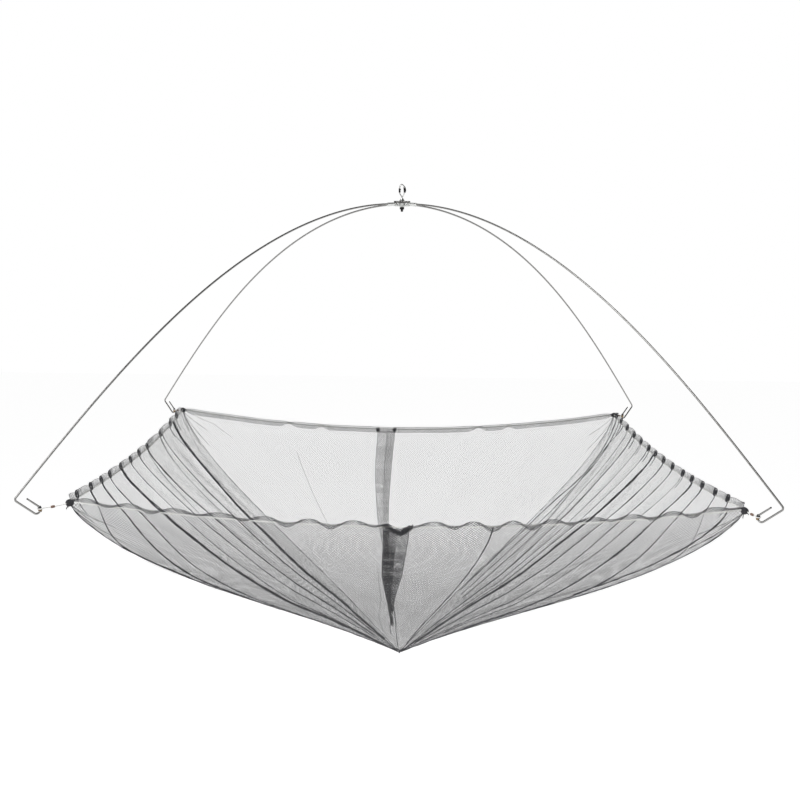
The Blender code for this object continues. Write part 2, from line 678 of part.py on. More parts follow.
def make_panel(side, hub):
    """One side of the bag, a thin wall with a grid of openings."""
    rows = []
    for w in PANEL_ROWS:
        edge = NET_EDGE / (w * NET_SIDE)
        if w == 1.0:
            edge = CORNER_CLEAR / NET_SIDE
        places = [edge + (1 - 2 * edge) * share for share in strap_places(w)]
        rows.append([(bag_point(side, t, w), bag_normal(side, t, w)) for t in places])
    openings = {(1 + 2 * row, 1 + 2 * i) for row in range(OPENINGS_UP) for i in range(OPENINGS_ACROSS)}
    hang(shell(f"net_panel_{side}", rows, NET_WALL, "netting", openings), hub)


def make_rim_cord(side, hub):
    edge = CORNER_CLEAR / NET_SIDE
    lift = Vector((0, 0, RIM_CORD_LIFT))
    route = [rim_point(side, edge + (1 - 2 * edge) * i / 20) + lift for i in range(21)]
    hang(tube(f"rim_cord_{side}", route, RIM_CORD_R, "white_cord", 1), hub)


def make_hem(side, hub):
    """The ruffled selvedge that stands above and below the rim cord."""
    edge = 1.5 * CORNER_CLEAR / NET_SIDE
    outward = SIDES[side][2]
    rows = []
    for height in (-HEM_DOWN, HEM_UP):
        row = []
        for i in range(HEM_COLUMNS + 1):
            t = edge + (1 - 2 * edge) * i / HEM_COLUMNS
            wave = math.sin(2 * math.pi * t * NET_SIDE / HEM_PITCH)
            point = rim_point(side, t) + outward * (HEM_OUT + HEM_WAVE * wave)
            point.z += RIM_CORD_LIFT + height + HEM_RISE * wave
            row.append((point, outward))
        rows.append(row)
    hang(shell(f"hem_{side}", rows, HEM_WALL, "netting"), hub)


def make_pleat(side, hub):
    """The flattened tuck down the middle of the front or the rear panel, on the panel's own rows."""
    heights = PANEL_ROWS[PLEAT_LOWEST_ROW:-1]
    rows = []
    for w in heights:
        share = (w - heights[0]) / (heights[-1] - heights[0])
        half = PLEAT_END_HALF + (PLEAT_TOP_HALF - PLEAT_END_HALF) * share ** 0.8
        foot, top = PLEAT_AT[side]
        row = []
        for j in range(5):
            t = foot + (top - foot) * share + (j / 4 - 0.5) * 2 * half / (w * NET_SIDE)
            normal = bag_normal(side, t, w)
            row.append((bag_point(side, t, w) + normal * PLEAT_OFF, normal))
        rows.append(row)
    hang(shell(f"{side}_pleat", rows, NET_WALL, "netting"), hub)


def make_tip(hub):
    """The gathered end of the bag, bound into a small knot."""
    outline = [(0, -6 * MM), (3.5 * MM, -5 * MM), (5.5 * MM, -1 * MM), (5.0 * MM, 2 * MM),
               (3.6 * MM, 4 * MM), (5.4 * MM, 7 * MM), (6.0 * MM, 9.5 * MM), (0, 10.5 * MM)]
    knot = mesh_object("bag_tip_knot", turned(outline, 12), "black_thread", 60)
    knot.matrix_world = Matrix.Translation(TIP)
    hang(knot, hub)


def main():
    for old in list(bpy.data.objects):
        bpy.data.objects.remove(old, do_unlink=True)
    root = empty("hanging_point", (0, 0, 0))
    hub = empty("swivel", (0, 0, PIVOT_Z + TOP_PLATE_HIGH), parent=root)
    make_link(root)
    make_gate(root)
    make_hub(hub)
    for name, azimuth in AZIMUTHS.items():
        angle = math.radians(azimuth)
        place = (PIN_AT * math.cos(angle), PIN_AT * math.sin(angle), PIVOT_Z)
        hinge = empty(f"arm_hinge_{name}", place, azimuth, hub)
        make_arm(name, hinge, hub)
        make_lashing(name, hinge)
    for side in SIDES:
        make_panel(side, hub)
        make_rim_cord(side, hub)
        make_hem(side, hub)
    make_pleat("front", hub)
    make_pleat("rear", hub)
    make_tip(hub)


main()
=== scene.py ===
# Umbrella net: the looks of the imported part, from the cords and netting up to the snap link.
# Metres, +Z up, -Y is the front. The origin is the inner top of the snap link, where it hangs.
import math

import bmesh
import bpy
import numpy as np
from mathutils import Matrix, Vector


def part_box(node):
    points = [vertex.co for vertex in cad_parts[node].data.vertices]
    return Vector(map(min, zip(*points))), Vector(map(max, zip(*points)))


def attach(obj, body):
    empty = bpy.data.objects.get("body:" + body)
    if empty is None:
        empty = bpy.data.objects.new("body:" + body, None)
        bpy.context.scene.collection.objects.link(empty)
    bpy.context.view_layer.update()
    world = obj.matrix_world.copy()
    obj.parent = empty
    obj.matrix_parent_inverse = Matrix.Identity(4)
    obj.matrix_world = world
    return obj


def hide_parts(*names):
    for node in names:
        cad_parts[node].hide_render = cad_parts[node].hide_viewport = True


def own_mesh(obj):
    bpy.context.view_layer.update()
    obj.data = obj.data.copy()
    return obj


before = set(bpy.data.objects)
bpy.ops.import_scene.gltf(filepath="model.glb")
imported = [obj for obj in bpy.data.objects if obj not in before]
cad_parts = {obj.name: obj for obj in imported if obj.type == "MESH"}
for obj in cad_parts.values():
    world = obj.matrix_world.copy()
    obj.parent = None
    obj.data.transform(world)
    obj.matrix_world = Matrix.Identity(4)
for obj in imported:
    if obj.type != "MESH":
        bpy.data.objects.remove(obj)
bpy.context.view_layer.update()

# Camera
# It stands 2.2 m in front, a little below the hub, and looks slightly down. The frame is turned a
# hair anticlockwise, so the right corners of the net sit lower in the picture than the left ones.
CAMERA_PLACE = Vector((-0.008, -2.2157, -0.1126))
CAMERA_DOWN = 0.1293  # radians
CAMERA_RIGHT = 0.0040
CAMERA_ROLL = 0.0126
LENS_MM = 53.17
SENSOR_MM = 36.0


def in_scene(name, data):
    """A new object of a camera, lamp or mesh."""
    made = bpy.data.objects.new(name, data)
    bpy.context.collection.objects.link(made)
    return made


level = math.cos(CAMERA_DOWN)
ahead = Vector((math.sin(CAMERA_RIGHT) * level, math.cos(CAMERA_RIGHT) * level, -math.sin(CAMERA_DOWN)))
aside = Vector((math.cos(CAMERA_RIGHT), -math.sin(CAMERA_RIGHT), 0))
above = aside.cross(ahead)
frame_x = aside * math.cos(CAMERA_ROLL) + above * math.sin(CAMERA_ROLL)
frame_y = above * math.cos(CAMERA_ROLL) - aside * math.sin(CAMERA_ROLL)
camera = in_scene("camera", bpy.data.cameras.new("camera"))
camera.data.lens = LENS_MM
camera.data.sensor_width = SENSOR_MM
camera.data.sensor_fit = "HORIZONTAL"
facing = Matrix((frame_x, frame_y, -ahead)).transposed().to_4x4()
camera.matrix_world = Matrix.Translation(CAMERA_PLACE) @ facing
bpy.context.scene.camera = camera
bpy.context.scene.view_settings.view_transform = "Standard"

# Studio
# The net hangs from its line a metre above a pale floor, in front of a white sweep. One large
# soft lamp stands up and to the left, and the white room fills in from all round.
FLOOR_Z = -1.90
FLOOR_HALF = 14.0
FLOOR_COLOUR = (0.86, 0.86, 0.86, 1.0)
FLOOR_GLOW = 0.45
WHITE_LIGHT = (1, 1, 1, 1)
ROOM_LEVEL = 0.62
CEILING_SHINE = 0.06  # the ceiling over the sweep is darker than the sweep, as polished wire shows
CEILING_UP = 0.45  # the height of a direction from which the ceiling is fully dark
LAMP_PLACE = Vector((-1.6, -1.9, 1.5))
LAMP_AIM = Vector((0, 0, -0.55))
LAMP_SIZE = 2.0
LAMP_WATTS = 60.0


def step(tree, kind, sockets=None, **settings):
    """Adds a node, sets it, and joins or fills its sockets by name or number."""
    node = tree.nodes.new(kind)
    for name, value in settings.items():
        setattr(node, name, value)
    for key, value in (sockets or {}).items():
        if isinstance(value, bpy.types.NodeSocket):
            tree.links.new(value, node.inputs[key])
        else:
            node.inputs[key].default_value = value
    return node


def shade(tree, kind, sockets=None, **settings):
    """What a shader node puts out first."""
    return step(tree, f"ShaderNode{kind}", sockets, **settings).outputs[0]


def sum_of(tree, operation, *values):
    """One step of arithmetic on numbers."""
    return shade(tree, "Math", dict(enumerate(values)), operation=operation)


def ranged(tree, value, low, high, to_low=0.0, to_high=1.0):
    """Carries a value from one range to another, and stops at its ends."""
    return shade(tree, "MapRange", {"Value": value, "From Min": low, "From Max": high,
                                    "To Min": to_low, "To Max": to_high})


def blended(tree, amount, first, second):
    """A number between two."""
    return shade(tree, "Mix", {"Factor": amount, 2: first, 3: second}, data_type="FLOAT")


def seen_directly(tree):
    """1 for rays from the camera and in polished or clear surfaces, and all kinds of ray."""
    path = step(tree, "ShaderNodeLightPath").outputs
    shiny = sum_of(tree, "MAXIMUM", path["Is Glossy Ray"], path["Is Transmission Ray"])
    return sum_of(tree, "MAXIMUM", path["Is Camera Ray"], shiny), path


world = bpy.data.worlds.new("white room")
bpy.context.scene.world = world
world.use_nodes = True
room = world.node_tree
room.nodes.clear()
direct, room_path = seen_directly(room)
way = step(room, "ShaderNodeTexCoord").outputs["Generated"]
height = step(room, "ShaderNodeSeparateXYZ", {0: way}).outputs["Z"]
overhead = ranged(room, height, 0.0, CEILING_UP, 1.0, CEILING_SHINE)
glossy = blended(room, room_path["Is Glossy Ray"], 1.0, overhead)
strength = blended(room, direct, ROOM_LEVEL, glossy)
background = shade(room, "Background", {"Color": WHITE_LIGHT, "Strength": strength})
step(room, "ShaderNodeOutputWorld", {"Surface": background})

floor_mesh = bpy.data.meshes.new("floor")
floor_corners = [(x * FLOOR_HALF, y * FLOOR_HALF, FLOOR_Z) for x, y in ((-1, -1), (1, -1), (1, 1), (-1, 1))]
floor_mesh.from_pydata(floor_corners, [], [(0, 1, 2, 3)])
floor = in_scene("floor", floor_mesh)
floor_look = bpy.data.materials.new("pale floor")
floor_look.use_nodes = True
paint = floor_look.node_tree
paint.nodes.clear()
glow = sum_of(paint, "MULTIPLY", seen_directly(paint)[0], FLOOR_GLOW)
matt = shade(paint, "BsdfDiffuse", {"Color": FLOOR_COLOUR})
lit = shade(paint, "Emission", {"Color": WHITE_LIGHT, "Strength": glow})
step(paint, "ShaderNodeOutputMaterial", {"Surface": shade(paint, "AddShader", {0: matt, 1: lit})})
floor_mesh.materials.append(floor_look)

lamp = in_scene("soft lamp", bpy.data.lights.new("soft lamp", "AREA"))
lamp.data.shape = "DISK"
lamp.data.size = LAMP_SIZE
lamp.data.energy = LAMP_WATTS
lamp.location = LAMP_PLACE
lamp.rotation_euler = (LAMP_AIM - LAMP_PLACE).to_track_quat("-Z", "Y").to_euler()

# Rim cords
# A white cord of three laid strands, 2.3 mm thick, runs along each edge of the bag, from corner knot
# to corner knot, and sags under the net's weight. It is drawn in lengths, one for each gore of netting.
MM = 0.001
SIDES = {
    "front": ("front_left", "front_right", np.array((0, -1, 0))),
    "right": ("front_right", "rear_right", np.array((1, 0, 0))),
    "rear": ("rear_right", "rear_left", np.array((0, 1, 0))),
    "left": ("rear_left", "front_left", np.array((-1, 0, 0))),
}
RIM_SAG = {"front": 40 * MM, "rear": 36 * MM, "left": 12 * MM, "right": 16 * MM}
RIM_BOW = {"front": 30 * MM, "rear": 30 * MM, "left": 9 * MM, "right": 9 * MM}
RIM_CORD_R = 1.15 * MM
RIM_CORD_LIFT = 1.6 * MM
RIM_CORD_END = 0.004  # share of a side between a corner and the end of the cord, inside the knot
RIM_CORD_STEP = 6 * MM
LAY_LENGTH = 7 * MM  # one turn of the strands
STRANDS = 3
STRAND_SHARE = 0.464  # of the cord's radius, for three strands that touch
STRAND_SIDES = 5
STRAND_STEP = 1.1 * MM
WHITE = (0.90, 0.90, 0.88, 1.0)
WHITE_SOILED = (0.70, 0.68, 0.62, 1.0)
EVEN_GORES = (0.0, 0.17, 0.34, 0.5, 0.66, 0.83, 1.0)
GORE_EDGES = {  # shares of each side where the bag folds, from its first corner
    "front": EVEN_GORES,
    "right": (0.0, 0.14, 0.331, 0.469, 0.671, 0.823, 1.0),
    "rear": EVEN_GORES,
    "left": (0.0, 0.201, 0.325, 0.467, 0.692, 0.823, 1.0),
}


def middle(node):
    low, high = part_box(node)
    return (np.array(low) + np.array(high)) / 2


corner = {name: middle(f"corner_knot_{name}") for name, _, _ in SIDES.values()}


def rim_point(side, t):
    """Places along the top of the netting, from 0 at the side's first corner to 1 at its second."""
    first, second, outward = SIDES[side]
    t = np.asarray(t, float)
    swell = 4 * t * (1 - t)
    place = corner[first] + (corner[second] - corner[first]) * t[..., None]
    place = place - outward * (RIM_BOW[side] * swell)[..., None]
    place[..., 2] -= RIM_SAG[side] * swell
    return place


def maker_tree(name, numbers):
    """A geometry tree with a geometry in and out, named numbers and a material."""
    tree = bpy.data.node_groups.new(name, "GeometryNodeTree")
    face = tree.interface
    face.new_socket("Shape", in_out="INPUT", socket_type="NodeSocketGeometry")
    for label, value in numbers.items():
        kind = "NodeSocketInt" if isinstance(value, int) else "NodeSocketFloat"
        face.new_socket(label, in_out="INPUT", socket_type=kind).default_value = value
    face.new_socket("Material", in_out="INPUT", socket_type="NodeSocketMaterial")
    face.new_socket("Shape", in_out="OUTPUT", socket_type="NodeSocketGeometry")
    return tree, tree.nodes.new("NodeGroupInput").outputs


def geo(tree, kind, sockets=None, **settings):
    """What a geometry node puts out first."""
    return step(tree, f"GeometryNode{kind}", sockets, **settings).outputs[0]


def vector_of(tree, operation, *values):
    """One step of arithmetic on vectors; a dot product or a length gives a number."""
    node = step(tree, "ShaderNodeVectorMath", dict(enumerate(values)), operation=operation)
    return node.outputs["Value" if operation in ("DOT_PRODUCT", "LENGTH") else "Vector"]


def scaled(tree, vector, factor):
    """A vector, longer or shorter."""
    return shade(tree, "VectorMath", {0: vector, "Scale": factor}, operation="SCALE")


def round_tube(tree, line, sides, radius, closed=True, **more):
    """A tube along a line."""
    ring = geo(tree, "CurvePrimitiveCircle", {"Resolution": sides, "Radius": radius})
    return geo(tree, "CurveToMesh", {0: line, "Profile Curve": ring, "Fill Caps": closed, **more})


def end_tree(tree, shape, finish):
    """Makes the copies real, and gives them their finish."""
    whole = geo(tree, "RealizeInstances", {0: shape})
    step(tree, "NodeGroupOutput", {0: geo(tree, "SetMaterial", {0: whole, "Material": finish})})
    return tree


def copied(tree, lines, amount):
    """Each line several times over, and the number of each copy."""
    copies = step(tree, "GeometryNodeDuplicateElements", {0: lines, "Amount": amount}, domain="SPLINE")
    return copies.outputs[0], copies.outputs[1]


def laid_cord_tree():
    """Strands twisted round each edge line that it is given."""
    tree, given = maker_tree("laid cord", {"Cord radius": RIM_CORD_R, "Lay length": LAY_LENGTH,
                                           "Strands": STRANDS, "Step": STRAND_STEP})
    line = geo(tree, "MeshToCurve", {0: given["Shape"]})
    line = geo(tree, "ResampleCurve", {0: line, "Length": given["Step"]}, mode="LENGTH")
    strands, number = copied(tree, line, given["Strands"])
    along = step(tree, "GeometryNodeSplineParameter").outputs["Length"]
    turns = sum_of(tree, "DIVIDE", along, given["Lay length"])
    share = sum_of(tree, "DIVIDE", number, given["Strands"])
    angle = sum_of(tree, "MULTIPLY", sum_of(tree, "ADD", turns, share), 2 * math.pi)
    normal = geo(tree, "InputNormal")
    across = vector_of(tree, "CROSS_PRODUCT", geo(tree, "InputTangent"), normal)
    out = sum_of(tree, "MULTIPLY", given["Cord radius"], 1 - STRAND_SHARE)
    strand = sum_of(tree, "MULTIPLY", given["Cord radius"], STRAND_SHARE)
    offsets = [scaled(tree, way, sum_of(tree, "MULTIPLY", out, sum_of(tree, wave, angle)))
               for way, wave in ((normal, "COSINE"), (across, "SINE"))]
    laid = geo(tree, "SetPosition", {0: strands, "Offset": vector_of(tree, "ADD", *offsets)})
    return end_tree(tree, round_tube(tree, laid, STRAND_SIDES, strand), given["Material"])


def made_by(tree, name, mesh, **numbers):
    """Runs a geometry tree on a mesh and returns the result as a plain object."""
    maker = in_scene(f"{name} maker", mesh)
    modifier = maker.modifiers.new("maker", "NODES")
    modifier.node_group = tree
    for item in tree.interface.items_tree:
        label = item.name.replace(" ", "_")
        if item.in_out == "INPUT" and label in numbers:
            modifier[item.identifier] = numbers[label]
    bpy.context.view_layer.update()
    result = maker.evaluated_get(bpy.context.evaluated_depsgraph_get())
    made = in_scene(name, bpy.data.meshes.new_from_object(result))
    bpy.data.objects.remove(maker, do_unlink=True)
    return made


def lines_mesh(name, *lines):
    """Chains of edges through the places of each line."""
    verts, edges = [], []
    for line in lines:
        edges += [(len(verts) + i, len(verts) + i + 1) for i in range(len(line) - 1)]
        verts += [tuple(p) for p in line]
    mesh = bpy.data.meshes.new(name)
    mesh.from_pydata(verts, edges, [])
    return mesh


def new_look(name, colour, roughness, metallic=0.0, **constants):
    """A material with its Principled shader, whose plain values are set on its own sockets."""
    look = bpy.data.materials.new(name)
    look.use_nodes = True
    tree = look.node_tree
    shader = tree.nodes["Principled BSDF"]
    shader.inputs["Base Color"].default_value = colour
    shader.inputs["Roughness"].default_value = roughness
    shader.inputs["Metallic"].default_value = metallic
    for label, value in constants.items():
        shader.inputs[label.replace("_", " ")].default_value = value
    return look, tree, shader


def feed(tree, shader, **patterns):
    """Joins patterns to the shader's sockets."""
    for label, pattern in patterns.items():
        tree.links.new(pattern, shader.inputs[label.replace("_", " ")])


def noise(tree, place, scale, detail, output="Fac"):
    """Blender's noise at a place."""
    return step(tree, "ShaderNodeTexNoise", {"Vector": place, "Scale": scale,
                                             "Detail": detail}).outputs[output]


def blotches(tree, scale, detail=3.0, stretch=(1, 1, 1)):
    """Soft patches of noise over the object, from 0 to 1."""
    place = step(tree, "ShaderNodeTexCoord").outputs["Object"]
    return noise(tree, shade(tree, "Mapping", {"Vector": place, "Scale": stretch}), scale, detail)


def mixed(tree, amount, first, second):
    """A colour between two."""
    return step(tree, "ShaderNodeMix", {"Factor": amount, 6: first, 7: second}, data_type="RGBA").outputs[2]


def bumped(tree, shader, amount, distance):
    """Raises the surface by a pattern."""
    feed(tree, shader, Normal=shade(tree, "Bump", {"Height": amount, "Distance": distance, "Strength": 1.0}))


def patchy_look(name, colours, scale, limits, roughness, grain, height, sheen=0.0, stretch=(1, 1, 1)):
    """Dyed fibre or stained wood: patches of a second colour, uneven gloss, and a grain that stands up."""
    look, tree, shader = new_look(name, colours[0], sum(roughness) / 2, Sheen_Weight=sheen)
    patches = blotches(tree, scale, 4.0, stretch)
    feed(tree, shader, Base_Color=mixed(tree, ranged(tree, patches, *limits), *colours),
         Roughness=ranged(tree, patches, 0.3, 0.7, *roughness))
    bumped(tree, shader, blotches(tree, *grain, stretch), height)
    return look


def hang_piece(piece, body, slot, *stands_for):
    """Settles which body carries a piece and which solids it stands for. The slot is not used."""
    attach(piece, body)
    if stands_for:
        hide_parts(*stands_for)
    return piece


def gores(side):
    """The number and the two edges of each gore of a side."""
    edges = GORE_EDGES[side]
    return enumerate(zip(edges, edges[1:]), 1)


cord_tree = laid_cord_tree()
white_cord = patchy_look("laid white cord", (WHITE, WHITE_SOILED), 60.0, (0.5, 0.85), (0.62, 0.85),
                         (5000.0, 2.0), 0.06 * MM)
rim_cords = {}
for side in SIDES:
    for number, (start, end) in gores(side):
        places = np.linspace(max(start, RIM_CORD_END), min(end, 1 - RIM_CORD_END),
                             int((end - start) / RIM_CORD_STEP))
        route = rim_point(side, places) + np.array((0, 0, RIM_CORD_LIFT))
        name = f"rim_cord_{side}_{number}"
        piece = made_by(cord_tree, name, lines_mesh(name, route), Material=white_cord)
        rim_cords[side, number] = hang_piece(piece, "hub", "white_cord", f"rim_cord_{side}")

# Netting
# Fine black knotless netting hangs from the rim cords to a point, with its threads at 45 degrees
# to the rim. Its top is turned over the cord and lashed to it, which leaves the ruffled hem.
TIP_UP = 6 * MM  # of the tie knot's solid, from its foot to where the netting ends
FULLNESS_CORNER = 0.37
FULLNESS_MIDDLE = 0.25
ROWS = 52
FIRST_ROW = 0.006
COLUMN_STEP = 0.0062
TUCK_HALF = 0.0024  # of a fold, as a share of the side
TUCK_COLUMNS = (-1.5, -1.0, -0.5, 0.0, 0.5, 1.0, 1.5)
TUCK_LEAST = 0.5 * MM
TUCK_MORE = 0.09 * MM  # of depth for each thread that lies in the fold
FOLD_FADE = 0.15  # height over which a fold runs out at its foot
FOLD_FOOT = 0.3  # height below which every fold flattens into the tip
BILLOW = 1.3 * MM
BILLOW_FULL = 0.08  # the share of a side between two folds that billows fully
BILLOW_RISE = 2.2  # how fast the billows grow above the tip
BILLOW_TOP = 0.75  # how much the cord flattens them
FLAT_BILLOW = 0.35  # of them on the front and the rear, which hang flatter
RIPPLE = 1.1 * MM
RIPPLES = ((6.3, 1.7, 0.0), (-1.9, 2.3, 0.7), (11.7, -2.9, 1.9))  # waves along and up the side, phase
RIPPLE_FINE = 0.6  # of the third
RIPPLE_EDGE = 0.04  # the share of a side beside a corner where the ripples die out
FACE_OUT, FACE_DOWN = 0.62, 0.78  # which way the netting's outer face looks
GORE_LAP = 0.0025
THREAD_PITCH = 3.5 * MM
THREAD_R = {"front": 0.268 * MM, "right": 0.15 * MM, "rear": 0.242 * MM, "left": 0.15 * MM}
THREAD_SIDES = 3
THREAD_STEP = 1.75 * MM
THREAD_EVERY = 4.0  # of its points are kept where a thread runs straight
THREAD_BEND = math.radians(7)  # all of them are kept where it bends more
THREAD_DRIFT = 1.3 * MM  # how unevenly the threads lie
THREAD_NOISE = (160.0, 1.0)  # its scale and detail
ASTRAY = 1e-5  # from the origin, where a point that is off the cloth stays
DRAWN_R = 0.30 * MM  # of the threads that a fold draws together
DRAWN_LEAST = 0.6 * MM  # width of a fold's bundle of threads
DRAWN_MORE = 0.50 * MM  # and for each of them
DRAWN_SIDES = 5
DRAWN_POINTS = 80
DRAWN_SEED = 3
DRAWN_NOISE = (22.0, 2.5)
DRAWN_APART = (0.37, 0.71, 0.53)  # from one thread's noise to the next one's
EDGE_THREADS = (3, 1.0 * MM, 0.22 * MM)  # along the hem's upper fold: how many, their spread and radius
LOW_START = 0.45  # height below which a few threads of each fold run on to the tip
LOW_THREADS = 3
LOW_WIDE = 3.0 * MM
SEAM_THREADS = {"front": 5, "right": 4, "rear": 1, "left": 4}
SEAM_WIDE = 4.0 * MM
SEAM_R = 0.25 * MM
TIE_R = 0.65 * MM
TIE_TURNS = 6
TIE_MIDDLE = 4.0 * MM  # above the cord
TIE_HALF_HIGH = 7.2 * MM
TIE_HALF_DEEP = 2.3 * MM
TIE_INWARD = 1.1 * MM  # of the cord, where the hem's folds lie
TIE_APART = 1.3  # times the thread's radius, from turn to turn
TIE_INNER = 0.5  # size of every other turn, which fills the lashing
TIE_ROOT = 4  # threads that a tie bunches just under the cord
TIE_ROOT_WIDE = 3.6 * MM
TIE_ROOT_FOOT = 0.975
TURN_POINTS = 14
TURNED_UP = (  # rise and inward place from the cord, in mm: up inside the cord, and down again
    (0.6, -1.45), (3.0, -1.5), (6.5, -1.0), (9.8, -0.5), (11.6, -1.1), (11.0, -2.6), (7.5, -3.3),
    (4.0, -3.2), (1.0, -2.8), (-1.6, -2.4),
)
TURNED_IN = (  # low over the cord, well down inside and up again
    (0.6, -1.45), (2.8, -1.4), (4.4, -1.0), (4.6, -1.9), (2.0, -2.6), (-3.0, -2.7), (-8.6, -2.5),
    (-8.2, -3.3), (-3.0, -3.5), (1.5, -3.4),
)
HEM_PROFILE = {"front": TURNED_UP, "right": TURNED_UP, "rear": TURNED_IN, "left": TURNED_UP}
HEM_SIZE = {"front": 0.72, "right": 0.95, "rear": 1.0, "left": 0.95}
FOLDS = {  # share of the side, its threads, and how low they run
    "left": ((0.165, 25, 0.06), (0.305, 9, 0.10), (0.467, 11, 0.10), (0.543, 7, 0.10), (0.615, 4, 0.30),
             (0.692, 23, 0.06), (0.769, 8, 0.30), (0.823, 11, 0.45), (0.893, 8, 0.65)),
    "right": ((0.14, 3, 0.80), (0.21, 8, 0.40), (0.267, 13, 0.25), (0.337, 4, 0.40), (0.402, 6, 0.20),
              (0.469, 8, 0.15), (0.550, 20, 0.06), (0.608, 5, 0.20), (0.677, 4, 0.40), (0.760, 9, 0.10)),
    "front": ((0.63, 8, 0.10), (0.975, 9, 0.60)),
    "rear": (),
}
SIDE_TIES = {  # shares of the sides where the hem is lashed
    "left": (0.11, 0.201, 0.325, 0.467, 0.543, 0.615, 0.692, 0.769, 0.823, 0.886, 0.963),
    "right": (0.078, 0.14, 0.21, 0.273, 0.331, 0.402, 0.469, 0.537, 0.597, 0.671, 0.741, 0.823, 0.90, 0.96),
}
FRONT_PULL = (  # distance from the front corner, as a share of a side, and how hard the folds lean to it
    (0.0, 300.0), (0.107, 200.0), (0.177, 25.0), (0.213, 15.0), (0.25, 7.0), (0.308, 3.0), (0.407, 2.3),
    (0.457, 1.3), (0.56, 0.65), (0.83, 0.6), (0.95, 0.35), (1.0, 0.0),
)
PULL_REACH = 0.6  # of the way down, past which the folds run straight to the tip
STRAYS = {  # threads in a loose fold, and its places: share of the side there, and height
    "left": ((3, (0.207, 1.0), (0.18, 0.955), (0.165, 0.92)),
             (2, (0.13, 1.0), (0.14, 0.975), (0.163, 0.94)),
             (3, (0.467, 1.0), (0.493, 0.91), (0.517, 0.83), (0.56, 0.70)),
             (3, (0.325, 1.0), (0.36, 0.88), (0.38, 0.72)),
             (1, (0.03, 1.0), (0.05, 0.93), (0.07, 0.88))),
    "right": ((8, (0.96, 1.0), (0.93, 0.91), (0.92, 0.82), (0.947, 0.70), (0.965, 0.60), (0.975, 0.25)),
              (6, (0.93, 1.0), (0.91, 0.93), (0.90, 0.82), (0.897, 0.70), (0.88, 0.55), (0.85, 0.25)),
              (6, (0.877, 1.0), (0.917, 0.94), (0.917, 0.89), (0.903, 0.80), (0.86, 0.69), (0.80, 0.55),
               (0.75, 0.25)),
              (3, (0.823, 1.0), (0.83, 0.93), (0.81, 0.80), (0.77, 0.65))),
    "front": ((5, (0.462, 0.58), (0.448, 0.37), (0.41, 0.20)),
              (6, (0.470, 0.58), (0.468, 0.30), (0.446, 0.06)),
              (1, (0.448, 0.84), (0.434, 0.56), (0.36, 0.23))),
    "rear": ((1, (0.992, 1.0), (0.935, 0.98), (0.905, 0.94)),
             (1, (0.755, 0.90), (0.765, 0.70), (0.775, 0.50))),
}
CORNER_CREASES = ((0.018, 0.90), (0.040, 0.955))  # where each ends: share, height
CREASE_THREADS = 2
CREASE_WIDE = 2.0 * MM
CREASE_START = 0.03
LINE_POINTS = 60
FRONT_RUFFLES = ((0.286, 0.0665, 136.0), (0.60, 0.059, 144.0))  # a hump, the period, and the dips' lean
PLEAT_MIDDLE = 0.489  # where the front pleat's lashing pulls the hem down
PLEAT_PULL = 11.5 * MM
PLEAT_PULL_WIDE = 0.014
REAR_TWISTS = (0.247, 0.317, 0.676, 0.752)
REAR_TWIST_HALF = 0.016
TIE_LEAN = 14.0
BETWEEN_LEAN = 58.0  # the sides' hems stand out between their ties
TIE_PINCH = 0.48
HUMP_LEAN = 8.0
TWIST_LEAN = 75.0
CORNER_HEM = 0.25  # size of the hem in the corner knots
CORNER_HEM_WIDE = 0.03
CORNER_LEAN = 0.35  # of the front hem's lean is left at the corners
CORNER_LEAN_WIDE = 0.10
FRONT_UNEVEN = (0.78, 0.22, 3.3, 0.6)  # mean, swing, waves along the side and phase of the hems' leans
REAR_UNEVEN = (HUMP_LEAN, 9.0, 7.1, 0.0)
SIDE_UNEVEN = (1.0, 0.15, 3.7, 0.4)
THREAD_BLACK = (0.018, 0.018, 0.022, 1.0)
THREAD_DUSTY = (0.045, 0.045, 0.052, 1.0)

low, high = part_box("bag_tip_knot")
tip = np.array(((low.x + high.x) / 2, (low.y + high.y) / 2, low.z + TIP_UP))


def bag_point(side, t, w):
    """Places on the smooth bag: t along the rim, w from 0 at the tip to 1 at the rim."""
    rim = rim_point(side, t)
    fullness = FULLNESS_CORNER + (FULLNESS_MIDDLE - FULLNESS_CORNER) * 4 * t * (1 - t)
    fall = (1 - w) + fullness * w ** 2 * (1 - w) ** 0.6
    place = tip + (rim - tip) * w[..., None]
    place[..., 2] = rim[..., 2] + (tip[2] - rim[..., 2]) * fall
    return place


def leaning(side, t, w):
    """Where a line down the netting has got to along the side: the sides' folds lean to the front."""
    if side in ("front", "rear"):
        return t
    away = 1 - t if side == "left" else t
    marks, pulls = np.array(FRONT_PULL).T
    away = away * np.exp(-np.interp(away, marks, pulls) * np.minimum(1 - w, PULL_REACH) ** 2)
    return 1 - away if side == "left" else away


